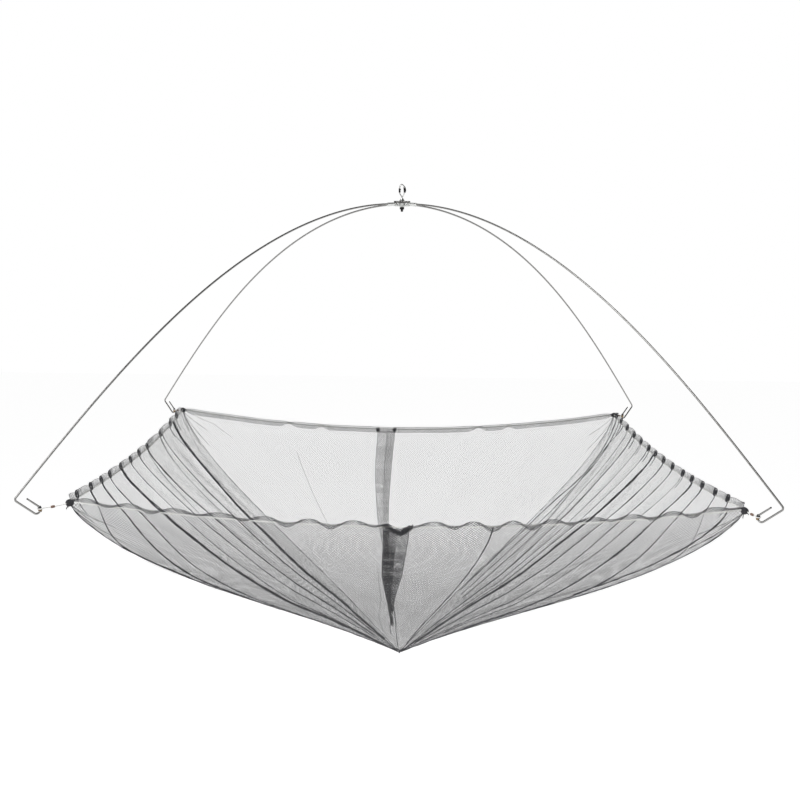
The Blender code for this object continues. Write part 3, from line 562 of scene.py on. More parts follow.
def crumple(side, t, w):
    """How far the netting stands out from the smooth bag, with its folds, billows and ripples."""
    folds = FOLDS[side]
    drawn = np.zeros_like(t)
    for place, threads, lowest in folds:
        shape = np.clip(1 - np.abs(t - place) / TUCK_HALF, 0, 1)
        fade = np.clip((w - lowest) / FOLD_FADE, 0, 1) * np.clip(w / FOLD_FOOT, 0, 1)
        drawn = drawn + (TUCK_LEAST + TUCK_MORE * threads) * shape * fade
    stops = [0.0] + [f[0] for f in folds] + [1.0]
    swell = np.zeros_like(t)
    for a, b in zip(stops, stops[1:]):
        inside = np.clip((t - a) / (b - a), 0, 1)
        swell = swell + BILLOW * min(1.0, (b - a) / BILLOW_FULL) * (4 * inside * (1 - inside)) ** 0.8
    if side in ("front", "rear"):
        swell = swell * FLAT_BILLOW
    swell = swell * np.clip(w * BILLOW_RISE, 0, 1) * (1 - BILLOW_TOP * w ** 12)
    broad, cross, fine = (np.sin(2 * math.pi * (along * t + up * w) + phase) for along, up, phase in RIPPLES)
    ripple = broad * cross + RIPPLE_FINE * fine
    calm = np.clip(t / RIPPLE_EDGE, 0, 1) * np.clip((1 - t) / RIPPLE_EDGE, 0, 1) * w * (1 - w ** 10)
    return swell + RIPPLE * ripple * calm - drawn


def between_ties(side, t):
    """0 at the ties of a side's hem and 1 halfway between two."""
    ties = np.array((0.0,) + SIDE_TIES[side] + (1.0,))
    before = np.clip(np.searchsorted(ties, t, side="right") - 1, 0, len(ties) - 2)
    return np.sin(math.pi * np.clip((t - ties[before]) / (ties[before + 1] - ties[before]), 0, 1))


def wavy(t, mean, swing, waves, phase):
    return mean + swing * np.sin(2 * math.pi * waves * t + phase)


def hem_lean(side, t):
    """How far the hem leans out from upright, in radians, along the rim."""
    if side == "front":
        near = np.clip(np.minimum(t, 1 - t) / CORNER_LEAN_WIDE, 0, 1)
        left, right = (
            HUMP_LEAN + (dip - HUMP_LEAN) * (0.5 - 0.5 * np.cos(2 * math.pi * (t - hump) / period))
            for hump, period, dip in FRONT_RUFFLES
        )
        lean = np.where(t < 0.5, left, right) * (CORNER_LEAN + (1 - CORNER_LEAN) * near)
        lean = lean * wavy(t, *FRONT_UNEVEN)
    elif side == "rear":
        lean = wavy(t, *REAR_UNEVEN)
        for place in REAR_TWISTS:
            lean = lean + TWIST_LEAN * np.clip(1 - np.abs(t - place) / REAR_TWIST_HALF, 0, 1) ** 0.7
    else:
        lean = TIE_LEAN + (BETWEEN_LEAN - TIE_LEAN) * between_ties(side, t)
        lean = lean * wavy(t, *SIDE_UNEVEN)
    return np.radians(lean)


def hem_height(side, t):
    """The hem's size: drawn in at its ties and in the corner knots."""
    size = HEM_SIZE[side] * np.clip(CORNER_HEM + np.minimum(t, 1 - t) / CORNER_HEM_WIDE, 0, 1)
    if side in SIDE_TIES:
        size = size * (1 - TIE_PINCH * (1 - between_ties(side, t)) ** 2)
    return size


def hem_frame(side, t):
    """The cord's centre, the way up the hem and the way out of its face."""
    outward = SIDES[side][2]
    lean = hem_lean(side, t)[..., None]
    up = np.array((0, 0, 1))
    centre = rim_point(side, t) + up * RIM_CORD_LIFT
    if side == "front":
        centre = centre - up * (PLEAT_PULL * np.exp(-((t - PLEAT_MIDDLE) / PLEAT_PULL_WIDE) ** 2))[..., None]
    return centre, up * np.cos(lean) + outward * np.sin(lean), outward * np.cos(lean) - up * np.sin(lean)


class Panel:
    """One side of the bag: its places in the air, and its places on the flat cloth in metres."""

    def __init__(self, side):
        self.side = side
        outward = SIDES[side][2]
        self.face = outward * FACE_OUT - np.array((0, 0, FACE_DOWN))
        marks = [f[0] for f in FOLDS[side]] + list(GORE_EDGES[side][1:-1])
        places = [m + k * TUCK_HALF for m in marks for k in TUCK_COLUMNS]
        for t in np.arange(0, 1 + COLUMN_STEP / 2, COLUMN_STEP):
            t = min(float(t), 1.0)
            if all(abs(t - p) > COLUMN_STEP / 3 for p in places if abs(p - t) < COLUMN_STEP):
                places.append(t)
        places += [0.0, 1.0]
        self.t = np.unique(np.round([p for p in places if 0 <= p <= 1], 5))
        self.w = np.linspace(FIRST_ROW, 1, ROWS)
        t, w = np.meshgrid(self.t, self.w)
        net = self.at(t, w)
        centre, up, out = hem_frame(side, self.t)
        size = (hem_height(side, self.t) * MM)[:, None]
        turned = HEM_PROFILE[side]
        hem = np.array([centre + up * rise * size + out * step_out * MM for rise, step_out in turned])
        self.places = np.concatenate([net, hem])
        self.edge = hem[max(range(len(turned)), key=lambda k: turned[k][0])]
        spine = bag_point(side, np.full(ROWS, 0.5), self.w)
        runs = np.linalg.norm(np.diff(spine, axis=0), axis=1)
        profile = np.array(((-RIM_CORD_LIFT / MM, 0.0),) + turned) * MM
        rises = np.linalg.norm(np.diff(profile, axis=0), axis=1)
        v = np.concatenate([[0], np.cumsum(runs), np.sum(runs) + np.cumsum(rises)])
        across = np.linalg.norm(np.diff(net, axis=1), axis=2)
        u = np.concatenate([np.zeros((ROWS, 1)), np.cumsum(across, axis=1)], axis=1)
        u = u - np.array([np.interp(0.5, self.t, row) for row in u])[:, None]
        u = np.concatenate([u, np.repeat(u[-1:], len(turned), axis=0)])
        self.flat = np.stack([u, np.repeat(v[:, None], len(self.t), axis=1)], axis=-1)

    def columns(self, start, end):
        return np.where((self.t >= start - GORE_LAP) & (self.t <= end + GORE_LAP))[0]

    def at(self, t, w):
        """A place on the crumpled netting."""
        t, w = np.asarray(t, float), np.asarray(w, float)
        even_bag = bag_point(self.side, leaning(self.side, t, w), w)
        return even_bag + self.face * crumple(self.side, t, w)[..., None]

    def over(self, shares, heights):
        """Places on the crumpled netting by their share of the side at their own height."""
        grid = np.linspace(0, 1, 401)
        t = [np.interp(share, leaning(self.side, grid, w), grid) for share, w in zip(shares, heights)]
        return self.at(t, heights)


def cloth_mesh(name, places, flat, routes):
    """The surface that the threads follow, and the lines of drawn-up threads, ties and edges."""
    rows, columns = places.shape[:2]
    verts = [tuple(p) for p in places.reshape(-1, 3)]
    index = np.arange(rows * columns).reshape(rows, columns)
    faces = [(index[i, j], index[i, j + 1], index[i + 1, j + 1], index[i + 1, j])
             for i in range(rows - 1) for j in range(columns - 1)]
    edges = []
    marks = [(False, 0, 0.0, 0.0)] * len(verts)
    for line, *mark in routes:
        start = len(verts)
        verts += [tuple(p) for p in line]
        edges += [(start + i, start + i + 1) for i in range(len(line) - 1)]
        marks += [(True, *mark)] * len(line)
    mesh = bpy.data.meshes.new(name)
    mesh.from_pydata(verts, edges, [tuple(int(k) for k in face) for face in faces])
    labels = (("route", "BOOLEAN"), ("threads", "INT"), ("spread", "FLOAT"), ("thick", "FLOAT"))
    for (label, kind), values in zip(labels, zip(*marks)):
        mesh.attributes.new(label, kind, "POINT").data.foreach_set("value", values)
    layer = mesh.uv_layers.new(name="cloth")
    loops = np.zeros(len(mesh.loops), np.int32)
    mesh.loops.foreach_get("vertex_index", loops)
    layer.uv.foreach_set("vector", flat.reshape(-1, 2)[loops].astype(np.float32).ravel())
    return mesh


def held(tree, label, kind="FLOAT"):
    """What the mesh holds under a name."""
    return geo(tree, "InputNamedAttribute", {"Name": label}, data_type=kind)


def stored(tree, shape, label, value):
    """Keeps a number on each point, under a name."""
    return geo(tree, "StoreNamedAttribute", {0: shape, "Name": label, "Value": value},
               data_type="FLOAT", domain="POINT")


def without(tree, shape, selection, domain="POINT"):
    """Leaves out what is selected."""
    return geo(tree, "DeleteGeometry", {0: shape, "Selection": selection}, domain=domain)


def wander(tree, place, scale, detail):
    """A move in any direction, from the noise at a place."""
    return vector_of(tree, "SUBTRACT", noise(tree, place, scale, detail, "Color"), (0.5, 0.5, 0.5))


def threads_one_way(tree, given, hand):
    """The threads that run one way across the cloth; hand is 1 or -1."""
    root = math.sqrt(0.5)
    along, across = (root, hand * root, 0.0), (-hand * root, root, 0.0)
    cloth = held(tree, "cloth", "FLOAT_VECTOR")
    extent = step(tree, "GeometryNodeAttributeStatistic", {"Geometry": given["Shape"], "Attribute": cloth},
                  data_type="FLOAT_VECTOR", domain="CORNER").outputs
    total = vector_of(tree, "ADD", extent["Min"], extent["Max"])
    centre = vector_of(tree, "MULTIPLY", total, (0.5, 0.5, 0.5))
    reach = vector_of(tree, "DOT_PRODUCT", extent["Range"], (root, root, 0.0))
    half = sum_of(tree, "MULTIPLY", reach, 0.5)
    low_along, low_across = (sum_of(tree, "SUBTRACT", vector_of(tree, "DOT_PRODUCT", centre, way), half)
                             for way in (along, across))
    first = sum_of(tree, "CEIL", sum_of(tree, "DIVIDE", low_across, given["Pitch"]))
    lines, steps = (sum_of(tree, "FLOOR", sum_of(tree, "DIVIDE", reach, given[gap]))
                    for gap in ("Pitch", "Step"))
    count = step(tree, "FunctionNodeFloatToInt", {0: sum_of(tree, "MULTIPLY", lines, steps)}).outputs[0]
    index = geo(tree, "InputIndex")
    line = sum_of(tree, "FLOOR", sum_of(tree, "DIVIDE", index, steps))
    place = sum_of(tree, "SUBTRACT", index, sum_of(tree, "MULTIPLY", line, steps))
    offset = sum_of(tree, "MULTIPLY", sum_of(tree, "ADD", first, line), given["Pitch"])
    distance = sum_of(tree, "ADD", low_along, sum_of(tree, "MULTIPLY", place, given["Step"]))
    flat = vector_of(tree, "ADD", scaled(tree, across, offset), scaled(tree, along, distance))
    drift = vector_of(tree, "MULTIPLY", wander(tree, flat, *THREAD_NOISE), (THREAD_DRIFT, THREAD_DRIFT, 0.0))
    dots = geo(tree, "Points", {"Count": count, "Position": vector_of(tree, "ADD", flat, drift)})
    for label, value in (("line", line), ("count", index)):
        dots = stored(tree, dots, label, value)
    spot = geo(tree, "InputPosition")
    sampled = geo(tree, "SampleUVSurface", {"Mesh": given["Shape"], "Value": spot, "UV Map": cloth,
                                            "Sample UV": spot}, data_type="FLOAT_VECTOR")
    dots = geo(tree, "SetPosition", {0: dots, "Position": sampled})
    dots = without(tree, dots, sum_of(tree, "LESS_THAN", vector_of(tree, "LENGTH", spot), ASTRAY))

    def beside(value, shift, kind="FLOAT"):
        """The value of the point before or after."""
        other = step(tree, "FunctionNodeIntegerMath", {0: index, 1: shift}, operation="ADD").outputs[0]
        return geo(tree, "FieldAtIndex", {"Value": value, "Index": other}, data_type=kind, domain="POINT")

    def jumps(label, least):
        change = sum_of(tree, "SUBTRACT", held(tree, label), beside(held(tree, label), -1))
        return sum_of(tree, "GREATER_THAN", change, least)

    dots = stored(tree, dots, "begins", sum_of(tree, "MAXIMUM", jumps("count", 1.5), jumps("line", 0.5)))
    group = step(tree, "GeometryNodeAccumulateField", {"Value": held(tree, "begins")}, data_type="FLOAT",
                 domain="POINT").outputs["Leading"]
    dots = stored(tree, dots, "group", group)
    behind = vector_of(tree, "NORMALIZE", vector_of(tree, "SUBTRACT", spot, beside(spot, -1, "FLOAT_VECTOR")))
    before = vector_of(tree, "NORMALIZE", vector_of(tree, "SUBTRACT", beside(spot, 1, "FLOAT_VECTOR"), spot))
    bends = sum_of(tree, "LESS_THAN", vector_of(tree, "DOT_PRODUCT", behind, before), given["Bend kept"])
    regular = sum_of(tree, "LESS_THAN", sum_of(tree, "MODULO", held(tree, "count"), given["Every"]), 0.5)
    ends = sum_of(tree, "MAXIMUM", held(tree, "begins"), beside(held(tree, "begins"), 1))
    kept = sum_of(tree, "MAXIMUM", sum_of(tree, "MAXIMUM", bends, regular), ends)
    dots = without(tree, dots, sum_of(tree, "LESS_THAN", kept, 0.5))
    number = step(tree, "FunctionNodeFloatToInt", {0: held(tree, "group")}).outputs[0]
    curves = geo(tree, "PointsToCurves", {0: dots, "Curve Group ID": number, "Weight": held(tree, "count")})
    length = step(tree, "GeometryNodeSplineLength").outputs["Point Count"]
    curves = without(tree, curves, sum_of(tree, "LESS_THAN", length, 1.5), "CURVE")
    return round_tube(tree, curves, THREAD_SIDES, given["Thread radius"], False)


def netting_tree():
    """Threads both ways over a cloth, with threads drawn together along its routes."""
    tree, given = maker_tree("netting", {
        "Pitch": THREAD_PITCH, "Thread radius": THREAD_R["rear"], "Step": THREAD_STEP,
        "Every": THREAD_EVERY, "Bend kept": math.cos(THREAD_BEND), "Seed": DRAWN_SEED})
    parts = [threads_one_way(tree, given, hand) for hand in (1, -1)]
    lines = geo(tree, "MeshToCurve", {0: given["Shape"], "Selection": held(tree, "route", "BOOLEAN")})
    threads, number = copied(tree, lines, held(tree, "threads", "INT"))
    apart = scaled(tree, DRAWN_APART, sum_of(tree, "ADD", number, given["Seed"]))
    place = vector_of(tree, "ADD", geo(tree, "InputPosition"), apart)
    drift = scaled(tree, wander(tree, place, *DRAWN_NOISE), held(tree, "spread"))
    bundle = geo(tree, "SetPosition", {0: threads, "Offset": drift})
    parts.append(round_tube(tree, bundle, DRAWN_SIDES, 1.0, Scale=held(tree, "thick")))
    whole = step(tree, "GeometryNodeJoinGeometry")
    for part in parts:
        tree.links.new(part, whole.inputs[0])
    return end_tree(tree, whole.outputs[0], given["Material"])


def even(line, gap=5 * MM):
    """The same line with its points evenly apart."""
    runs = np.concatenate([[0], np.cumsum(np.linalg.norm(np.diff(line, axis=0), axis=1))])
    marks = np.linspace(0, runs[-1], max(2, int(runs[-1] / gap) + 1))
    return np.stack([np.interp(marks, runs, line[:, k]) for k in range(3)], axis=1)


def unit(way):
    """The same way, of length 1."""
    return way / np.linalg.norm(way)


def tie_route(side, t):
    """A lashing of a few turns round the hem and the cord."""
    share = np.linspace(0, 1, TIE_TURNS * TURN_POINTS + 1)
    angle = 2 * math.pi * TIE_TURNS * share
    centre, up, out = (part[0] for part in hem_frame(side, np.array([t])))
    first, second = SIDES[side][:2]
    slide = unit(corner[second] - corner[first]) * ((share - 0.5) * TIE_TURNS * TIE_APART * TIE_R)[:, None]
    size = 1 - (1 - TIE_INNER) * (0.5 - 0.5 * np.cos(angle / 2))
    high = up * (TIE_MIDDLE + TIE_HALF_HIGH * size * np.cos(angle))[:, None]
    deep = out * (TIE_HALF_DEEP * size * np.sin(angle) - TIE_INWARD)[:, None]
    return centre + slide + high + deep


FOLD_DOWN = math.radians(50)  # of the arms, when the net is put away
PIN_RADIUS = 18 * MM
PIN_Z = -35 * MM


def folded_corner(name):
    """Where an arm's end brings its corner when it is folded down."""
    place = corner[name]
    radius = math.hypot(place[0], place[1])
    out, drop = radius - PIN_RADIUS, place[2] - PIN_Z
    radial = PIN_RADIUS + out * math.cos(FOLD_DOWN) + drop * math.sin(FOLD_DOWN)
    return np.array((place[0] / radius * radial, place[1] / radius * radial,
                     PIN_Z + drop * math.cos(FOLD_DOWN) - out * math.sin(FOLD_DOWN)))


def gather(piece, side, start, end):
    """Works out the way from where a folded arm would bring the piece to where it rests, and gives the piece
    its own mesh.
    """
    first, second = SIDES[side][:2]
    t = 0.0 if start == 0.0 else 1.0 if end == 1.0 else (start + end) / 2
    rest = rim_point(side, t)
    folded = folded_corner(first) * (1 - t) + folded_corner(second) * t
    way = rest - folded
    length = np.linalg.norm(way)
    way = way / length
    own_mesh(piece)


def fold_routes(panel, start, end):
    """The drawn-up threads, seams, ties and creases of one gore."""
    side = panel.side
    routes = []
    at_ends = ((0.0, start == 0.0), (1.0, end == 1.0))

    def thread_down(t, foot, head, threads, wide, radius=DRAWN_R):
        heights = np.linspace(max(foot, FIRST_ROW), head, DRAWN_POINTS)
        routes.append((even(panel.at(np.full(DRAWN_POINTS, t), heights)), threads, wide, radius))

    for t, threads, lowest in FOLDS[side]:
        if start < t <= end:
            thread_down(t, lowest, 1, threads, DRAWN_LEAST + DRAWN_MORE * threads)
            thread_down(t, FIRST_ROW, LOW_START, LOW_THREADS, LOW_WIDE)
    for t in SIDE_TIES.get(side, ()):
        if start < t <= end:
            routes.append((tie_route(side, t), 1, 0.0, TIE_R))
            thread_down(t, TIE_ROOT_FOOT, 1, TIE_ROOT, TIE_ROOT_WIDE)
    for threads, *marks in STRAYS[side]:
        if start < marks[0][0] <= end:
            shares, heights = np.array(marks).T
            spread = np.linspace(0, 1, LINE_POINTS)
            bends = np.linspace(0, 1, len(marks))
            line = panel.over(np.interp(spread, bends, shares), np.interp(spread, bends, heights))
            routes.append((even(line), threads, DRAWN_LEAST + DRAWN_MORE * threads, DRAWN_R))
    for t, is_here in at_ends:
        if is_here:
            thread_down(t, FIRST_ROW, 1, SEAM_THREADS[side], SEAM_WIDE, SEAM_R)
    for away, height in CORNER_CREASES:
        share = np.linspace(CREASE_START, 1, 24)
        heights = 1 - (1 - height) * share
        for (_, is_here), near in zip(at_ends, (away * share, 1 - away * share)):
            if is_here:
                routes.append((even(panel.at(near, heights)), CREASE_THREADS, CREASE_WIDE, DRAWN_R))
    return routes


def net_piece(name, side, places, flat, routes, *stands_for):
    """One piece of the netting, which hangs from the hub's arms."""
    piece = made_by(net_tree, name, cloth_mesh(name, places, flat, routes), Material=net_thread,
                    Thread_radius=THREAD_R[side])
    return hang_piece(piece, "hub", "netting", *stands_for)


net_tree = netting_tree()
net_thread = patchy_look("netting thread", (THREAD_BLACK, THREAD_DUSTY), 9.0, (0.35, 0.65), (0.5, 0.75),
                         (4000.0, 2.0), 0.05 * MM, sheen=0.15)
panels = {side: Panel(side) for side in SIDES}
for side, panel in panels.items():
    for number, (start, end) in gores(side):
        columns = panel.columns(start, end)
        places, flat = panel.places[:, columns], panel.flat[:, columns]
        routes = [(panel.edge[columns], *EDGE_THREADS)] + fold_routes(panel, start, end)
        piece = net_piece(f"netting_{side}_{number}", side, places, flat, routes,
                          f"net_panel_{side}", f"hem_{side}")
        gather(piece, side, start, end)
        gather(rim_cords[side, number], side, start, end)

# Centre pleats
# The netting's spare width is folded over on itself down the middle of the front and the rear, in
# flat layers that narrow towards the tip, and black thread lashes their tops to the cord and hem.
PLEAT_EDGES = {  # height, and the shares of the side where the layers' edges run
    "front": ((0.30, 0.443, 0.453), (0.54, 0.452, 0.471), (0.78, 0.453, 0.494), (1.0, 0.465, 0.503)),
    "rear": ((0.40, 0.553, 0.573), (0.60, 0.537, 0.576), (0.86, 0.518, 0.561), (1.0, 0.508, 0.547)),
}
PLEAT_TURNS = {"front": (0.0, 1.0, 0.0, 0.55, 0.0), "rear": (0.0, 1.0, 0.0, 0.5)}  # where layers turn back
PLEAT_GORES = {"front": 3, "rear": 4}
PLEAT_FIRST_OFF = 1.3 * MM
LAYER_OFF = 0.55 * MM
LAYER_COLUMNS = 9
PLEAT_ROWS = 30
PLEAT_LINES = {  # where a crease runs across the pleat, its threads and how low it runs
    "front": ((0.0, 4, 0.31), (0.2, 2, 0.45), (0.38, 2, 0.40), (1.0, 2, 0.31)),
    "rear": ((0.0, 1, 0.45), (0.42, 1, 0.75), (1.0, 1, 0.45)),
}
PLEAT_LASHINGS = {  # first and last share, turns, how high its middle is above the cord, and its height
    "front": ((0.463, 0.487, 13, 1.5 * MM, 0.55), (0.486, 0.509, 14, 2.0 * MM, 0.72)),
    "rear": ((0.505, 0.513, 5, -2.0 * MM, 0.7), (0.543, 0.551, 5, -2.0 * MM, 0.7)),
}
LASHING_DEEP = 1.3  # of a tie's


def pleat_place(panel, across, height, off):
    """A place on a pleat: across from 0 to 1 between its edges, and its distance from the panel."""
    heights, left, right = np.array(PLEAT_EDGES[panel.side]).T
    share = np.interp(height, heights, left) * (1 - across) + np.interp(height, heights, right) * across
    return panel.at(share, height) + panel.face * np.asarray(off)[..., None]


def lashing_route(side, first, last, turns, above_cord, height):
    """Turns of thread round the hem and the cord, closer than a tie's."""
    share = np.linspace(0, 1, turns * TURN_POINTS + 1)
    angle = 2 * math.pi * turns * share
    centre = hem_frame(side, first + (last - first) * share)[0]
    uneven = 1 + 0.2 * np.sin(3.7 * angle / 3) + 0.15 * np.sin(1.3 * angle)
    uneven = uneven * (0.5 + 0.5 * np.sin(math.pi * share))
    centre[:, 2] += above_cord + TIE_HALF_HIGH * height * uneven * np.cos(angle)
    return centre + SIDES[side][2] * (LASHING_DEEP * TIE_HALF_DEEP * uneven * np.sin(angle))[:, None]


for side, turns in PLEAT_TURNS.items():
    panel = panels[side]
    layers = len(turns) - 1
    lowest = PLEAT_EDGES[side][0][0]
    zigzag = np.concatenate([np.linspace(a, b, LAYER_COLUMNS) for a, b in zip(turns, turns[1:])])
    depth = PLEAT_FIRST_OFF + LAYER_OFF * np.repeat(np.arange(layers), LAYER_COLUMNS)
    across, height = np.meshgrid(zigzag, np.linspace(lowest, 1, PLEAT_ROWS))
    places = pleat_place(panel, across, height, depth + 0 * across)
    runs = np.linalg.norm(np.diff(places, axis=1), axis=2)
    u = np.concatenate([np.zeros((PLEAT_ROWS, 1)), np.cumsum(runs, axis=1)], axis=1)
    rises = np.linalg.norm(np.diff(places[:, 0], axis=0), axis=1)
    v = np.repeat(np.concatenate([[0], np.cumsum(rises)])[:, None], len(zigzag), axis=1)
    flat = np.stack([u, v], axis=-1)
    over = PLEAT_FIRST_OFF + LAYER_OFF * layers
    routes = []
    for place, threads, foot in PLEAT_LINES[side]:
        heights = np.linspace(foot, 1, LINE_POINTS)
        line = pleat_place(panel, np.full(LINE_POINTS, place), heights, np.full(LINE_POINTS, over))
        routes.append((even(line), threads, DRAWN_LEAST + DRAWN_MORE * threads, DRAWN_R))
    routes += [(lashing_route(side, *lashing), 1, 0.0, TIE_R) for lashing in PLEAT_LASHINGS[side]]
    number = PLEAT_GORES[side]
    piece = net_piece(f"pleat_{side}", side, places, flat, routes, f"{side}_pleat")
    gather(piece, side, *GORE_EDGES[side][number - 1 : number + 1])

# Arms
# Each arm is one length of 3 mm polished spring wire, bowed by the pull of the net. Its inner end is
# crimped into a plated socket, and its outer end is bent twice into an open hook.
ARMS = {"front_left": 225.0, "front_right": 315.0, "rear_right": 45.0, "rear_left": 135.0}  # degrees
WIRE_R = 1.5 * MM
WIRE_SIDES = 18
WIRE_END = 0.8  # of its thickness is left at the cut
SOCKET_SLOPE = 3.3  # degrees below level
END_SLOPE = 45.1
SLOPE_POWER = 1.9
WIRE_START = 6.3 * MM  # from the hinge pin
SOCKET_END = 20 * MM
ARM_LENGTH = 0.883
ARM_STEPS = 160
BENDS = ((4 * MM, 97.0, 20, 35 * MM), (5.75 * MM, 180.0, 32, 23 * MM))  # radius, turn, steps, then the run
EYE_WRAPPED = 0.75  # how far round the eye the lashing has settled
CUT_END = 1.6 * MM  # of the wire's end is dark from the shears
STEEL = (0.30, 0.297, 0.29, 1.0)
STEEL_OXIDE = (0.20, 0.19, 0.175, 1.0)
STEEL_CUT = (0.05, 0.045, 0.04, 1.0)
DRAWING_ALONG, DRAWING_ROUND = 30.0, 40.0  # how fine the drawing lines are: per metre, and in a turn
SCRATCH_TURN = (0.4, 0.9, 0.6)
SCRATCH_STRETCH = (1.0, 16.0, 16.0)  # the scratches are long and fine


def wire_route():
    """The arm in its own plane, as distance from the hinge pin and height, and its wrapped place."""
    slope = math.radians(SOCKET_SLOPE)
    places = [np.array((math.cos(slope), -math.sin(slope))) * d for d in (WIRE_START, SOCKET_END)]
    moves = []
    for i in range(ARM_STEPS):
        bowed = 1 - (1 - (i + 0.5) / ARM_STEPS) ** SLOPE_POWER
        moves.append((ARM_LENGTH / ARM_STEPS, SOCKET_SLOPE + (END_SLOPE - SOCKET_SLOPE) * bowed))
    slope = END_SLOPE
    for radius, turn, steps, run in BENDS:
        eye = len(moves) + int(EYE_WRAPPED * steps)
        chord = 2 * radius * math.sin(math.radians(turn / steps / 2))
        moves += [(chord, slope + turn * (i + 0.5) / steps) for i in range(steps)]
        slope += turn
        moves.append((run, slope))
    for length, slope in moves:
        slope = math.radians(slope)
        places.append(places[-1] + np.array((math.cos(slope), -math.sin(slope))) * length)
    return np.array(places), eye + 2


def on_arm(name, places):
    """Places of an arm's own plane, in the air."""
    angle = math.radians(ARMS[name])
    radial = np.array((math.cos(angle), math.sin(angle), 0))
    places = np.asarray(places, float)
    return radial * (PIN_RADIUS + places[..., :1]) + np.array((0, 0, 1)) * (PIN_Z + places[..., 1:2])


def drawn_wire_tree():
    """A round wire along a chain of edges, which keeps its length and its turn for the finish."""
    tree, given = maker_tree("drawn wire", {"Wire radius": WIRE_R, "Sides": WIRE_SIDES, "End": WIRE_END})
    line = geo(tree, "MeshToCurve", {0: given["Shape"]})
    line = stored(tree, line, "along", step(tree, "GeometryNodeSplineParameter").outputs["Length"])
    scale = blended(tree, geo(tree, "CurveEndpointSelection"), 1.0, given["End"])
    line = stored(tree, line, "scale", scale)
    ring = geo(tree, "CurvePrimitiveCircle", {"Resolution": given["Sides"], "Radius": given["Wire radius"]})
    ring = stored(tree, ring, "round", geo(tree, "SplineParameter"))
    solid = geo(tree, "CurveToMesh", {0: line, "Profile Curve": ring, "Scale": held(tree, "scale"),
                                      "Fill Caps": True})
    return end_tree(tree, solid, given["Material"])


def smooth(piece, sharp=35.0):
    piece.data.shade_smooth()
    piece.data.set_sharp_from_angle(angle=math.radians(sharp))
    return piece


def use_marks_group():
    """Handling marks that the metal finishes share: dulled patches, fine scratches and worn spots."""
    group = bpy.data.node_groups.new("use marks", "ShaderNodeTree")
    for label, value in (("Scale", 1.0), ("Worn", 0.3), ("Smooth", 0.2), ("Dull", 0.4)):
        group.interface.new_socket(label, in_out="INPUT", socket_type="NodeSocketFloat").default_value = value
    for label in ("Mask", "Roughness", "Height"):
        group.interface.new_socket(label, in_out="OUTPUT", socket_type="NodeSocketFloat")
    given = group.nodes.new("NodeGroupInput").outputs
    place = scaled(group, step(group, "ShaderNodeTexCoord").outputs["Object"], given["Scale"])
    patches = noise(group, place, 420.0, 4.0)
    turned = shade(group, "Mapping", {"Vector": place, "Rotation": SCRATCH_TURN, "Scale": SCRATCH_STRETCH})
    scratches = noise(group, turned, 500.0, 2.0)
    limit = sum_of(group, "SUBTRACT", 0.74, sum_of(group, "MULTIPLY", given["Worn"], 0.3))
    mask = ranged(group, patches, limit, sum_of(group, "ADD", limit, 0.05))
    marks = sum_of(group, "ADD", patches, sum_of(group, "MULTIPLY", scratches, 0.4))
    dulled = ranged(group, marks, 0.5, 0.9, given["Smooth"], given["Dull"])
    step(group, "NodeGroupOutput", {"Mask": mask, "Roughness": dulled, "Height": scratches})
    return group


def marked(tree, shader, scale, worn, fresh, dull, depth):
    """Puts the handling marks on a finish and returns where it is worn."""
    marks = step(tree, "ShaderNodeGroup", node_tree=use_marks)
    for label, value in (("Scale", scale), ("Worn", worn), ("Smooth", fresh), ("Dull", dull)):
        marks.inputs[label].default_value = value
    feed(tree, shader, Roughness=marks.outputs["Roughness"])
    bumped(tree, shader, marks.outputs["Height"], depth)
    return marks.outputs["Mask"]


def spring_steel(length):
    """Polished wire with drawing lines along it, thin brown oxide in patches and a dark cut end."""
    look, tree, shader = new_look("spring steel wire", STEEL, 0.24, 1.0)
    along = step(tree, "ShaderNodeAttribute", attribute_name="along").outputs["Fac"]
    turn = step(tree, "ShaderNodeAttribute", attribute_name="round").outputs["Fac"]
    lines = shade(tree, "CombineXYZ", {"X": sum_of(tree, "MULTIPLY", along, DRAWING_ALONG),
                                       "Y": sum_of(tree, "MULTIPLY", turn, DRAWING_ROUND)})
    drawn = noise(tree, lines, 1.0, 3.0)
    worn = marked(tree, shader, 0.35, 0.45, 0.26, 0.40, 0.004 * MM)
    steel = mixed(tree, sum_of(tree, "MULTIPLY", worn, drawn), STEEL, STEEL_OXIDE)
    cut = ranged(tree, along, length - CUT_END, length - 0.5 * CUT_END)
    feed(tree, shader, Base_Color=mixed(tree, cut, steel, STEEL_CUT))
    return look


use_marks = use_marks_group()
arm_line, wrapped = wire_route()
arm_finish = spring_steel(float(np.linalg.norm(np.diff(arm_line, axis=0), axis=1).sum()))
wire_tree = drawn_wire_tree()
for name in ARMS:
    route = lines_mesh(name, on_arm(name, arm_line))
    piece = made_by(wire_tree, f"bowed_wire_{name}", route, Material=arm_finish)
    hang_piece(smooth(piece), f"arm_{name}", "spring_wire", f"arm_wire_{name}")
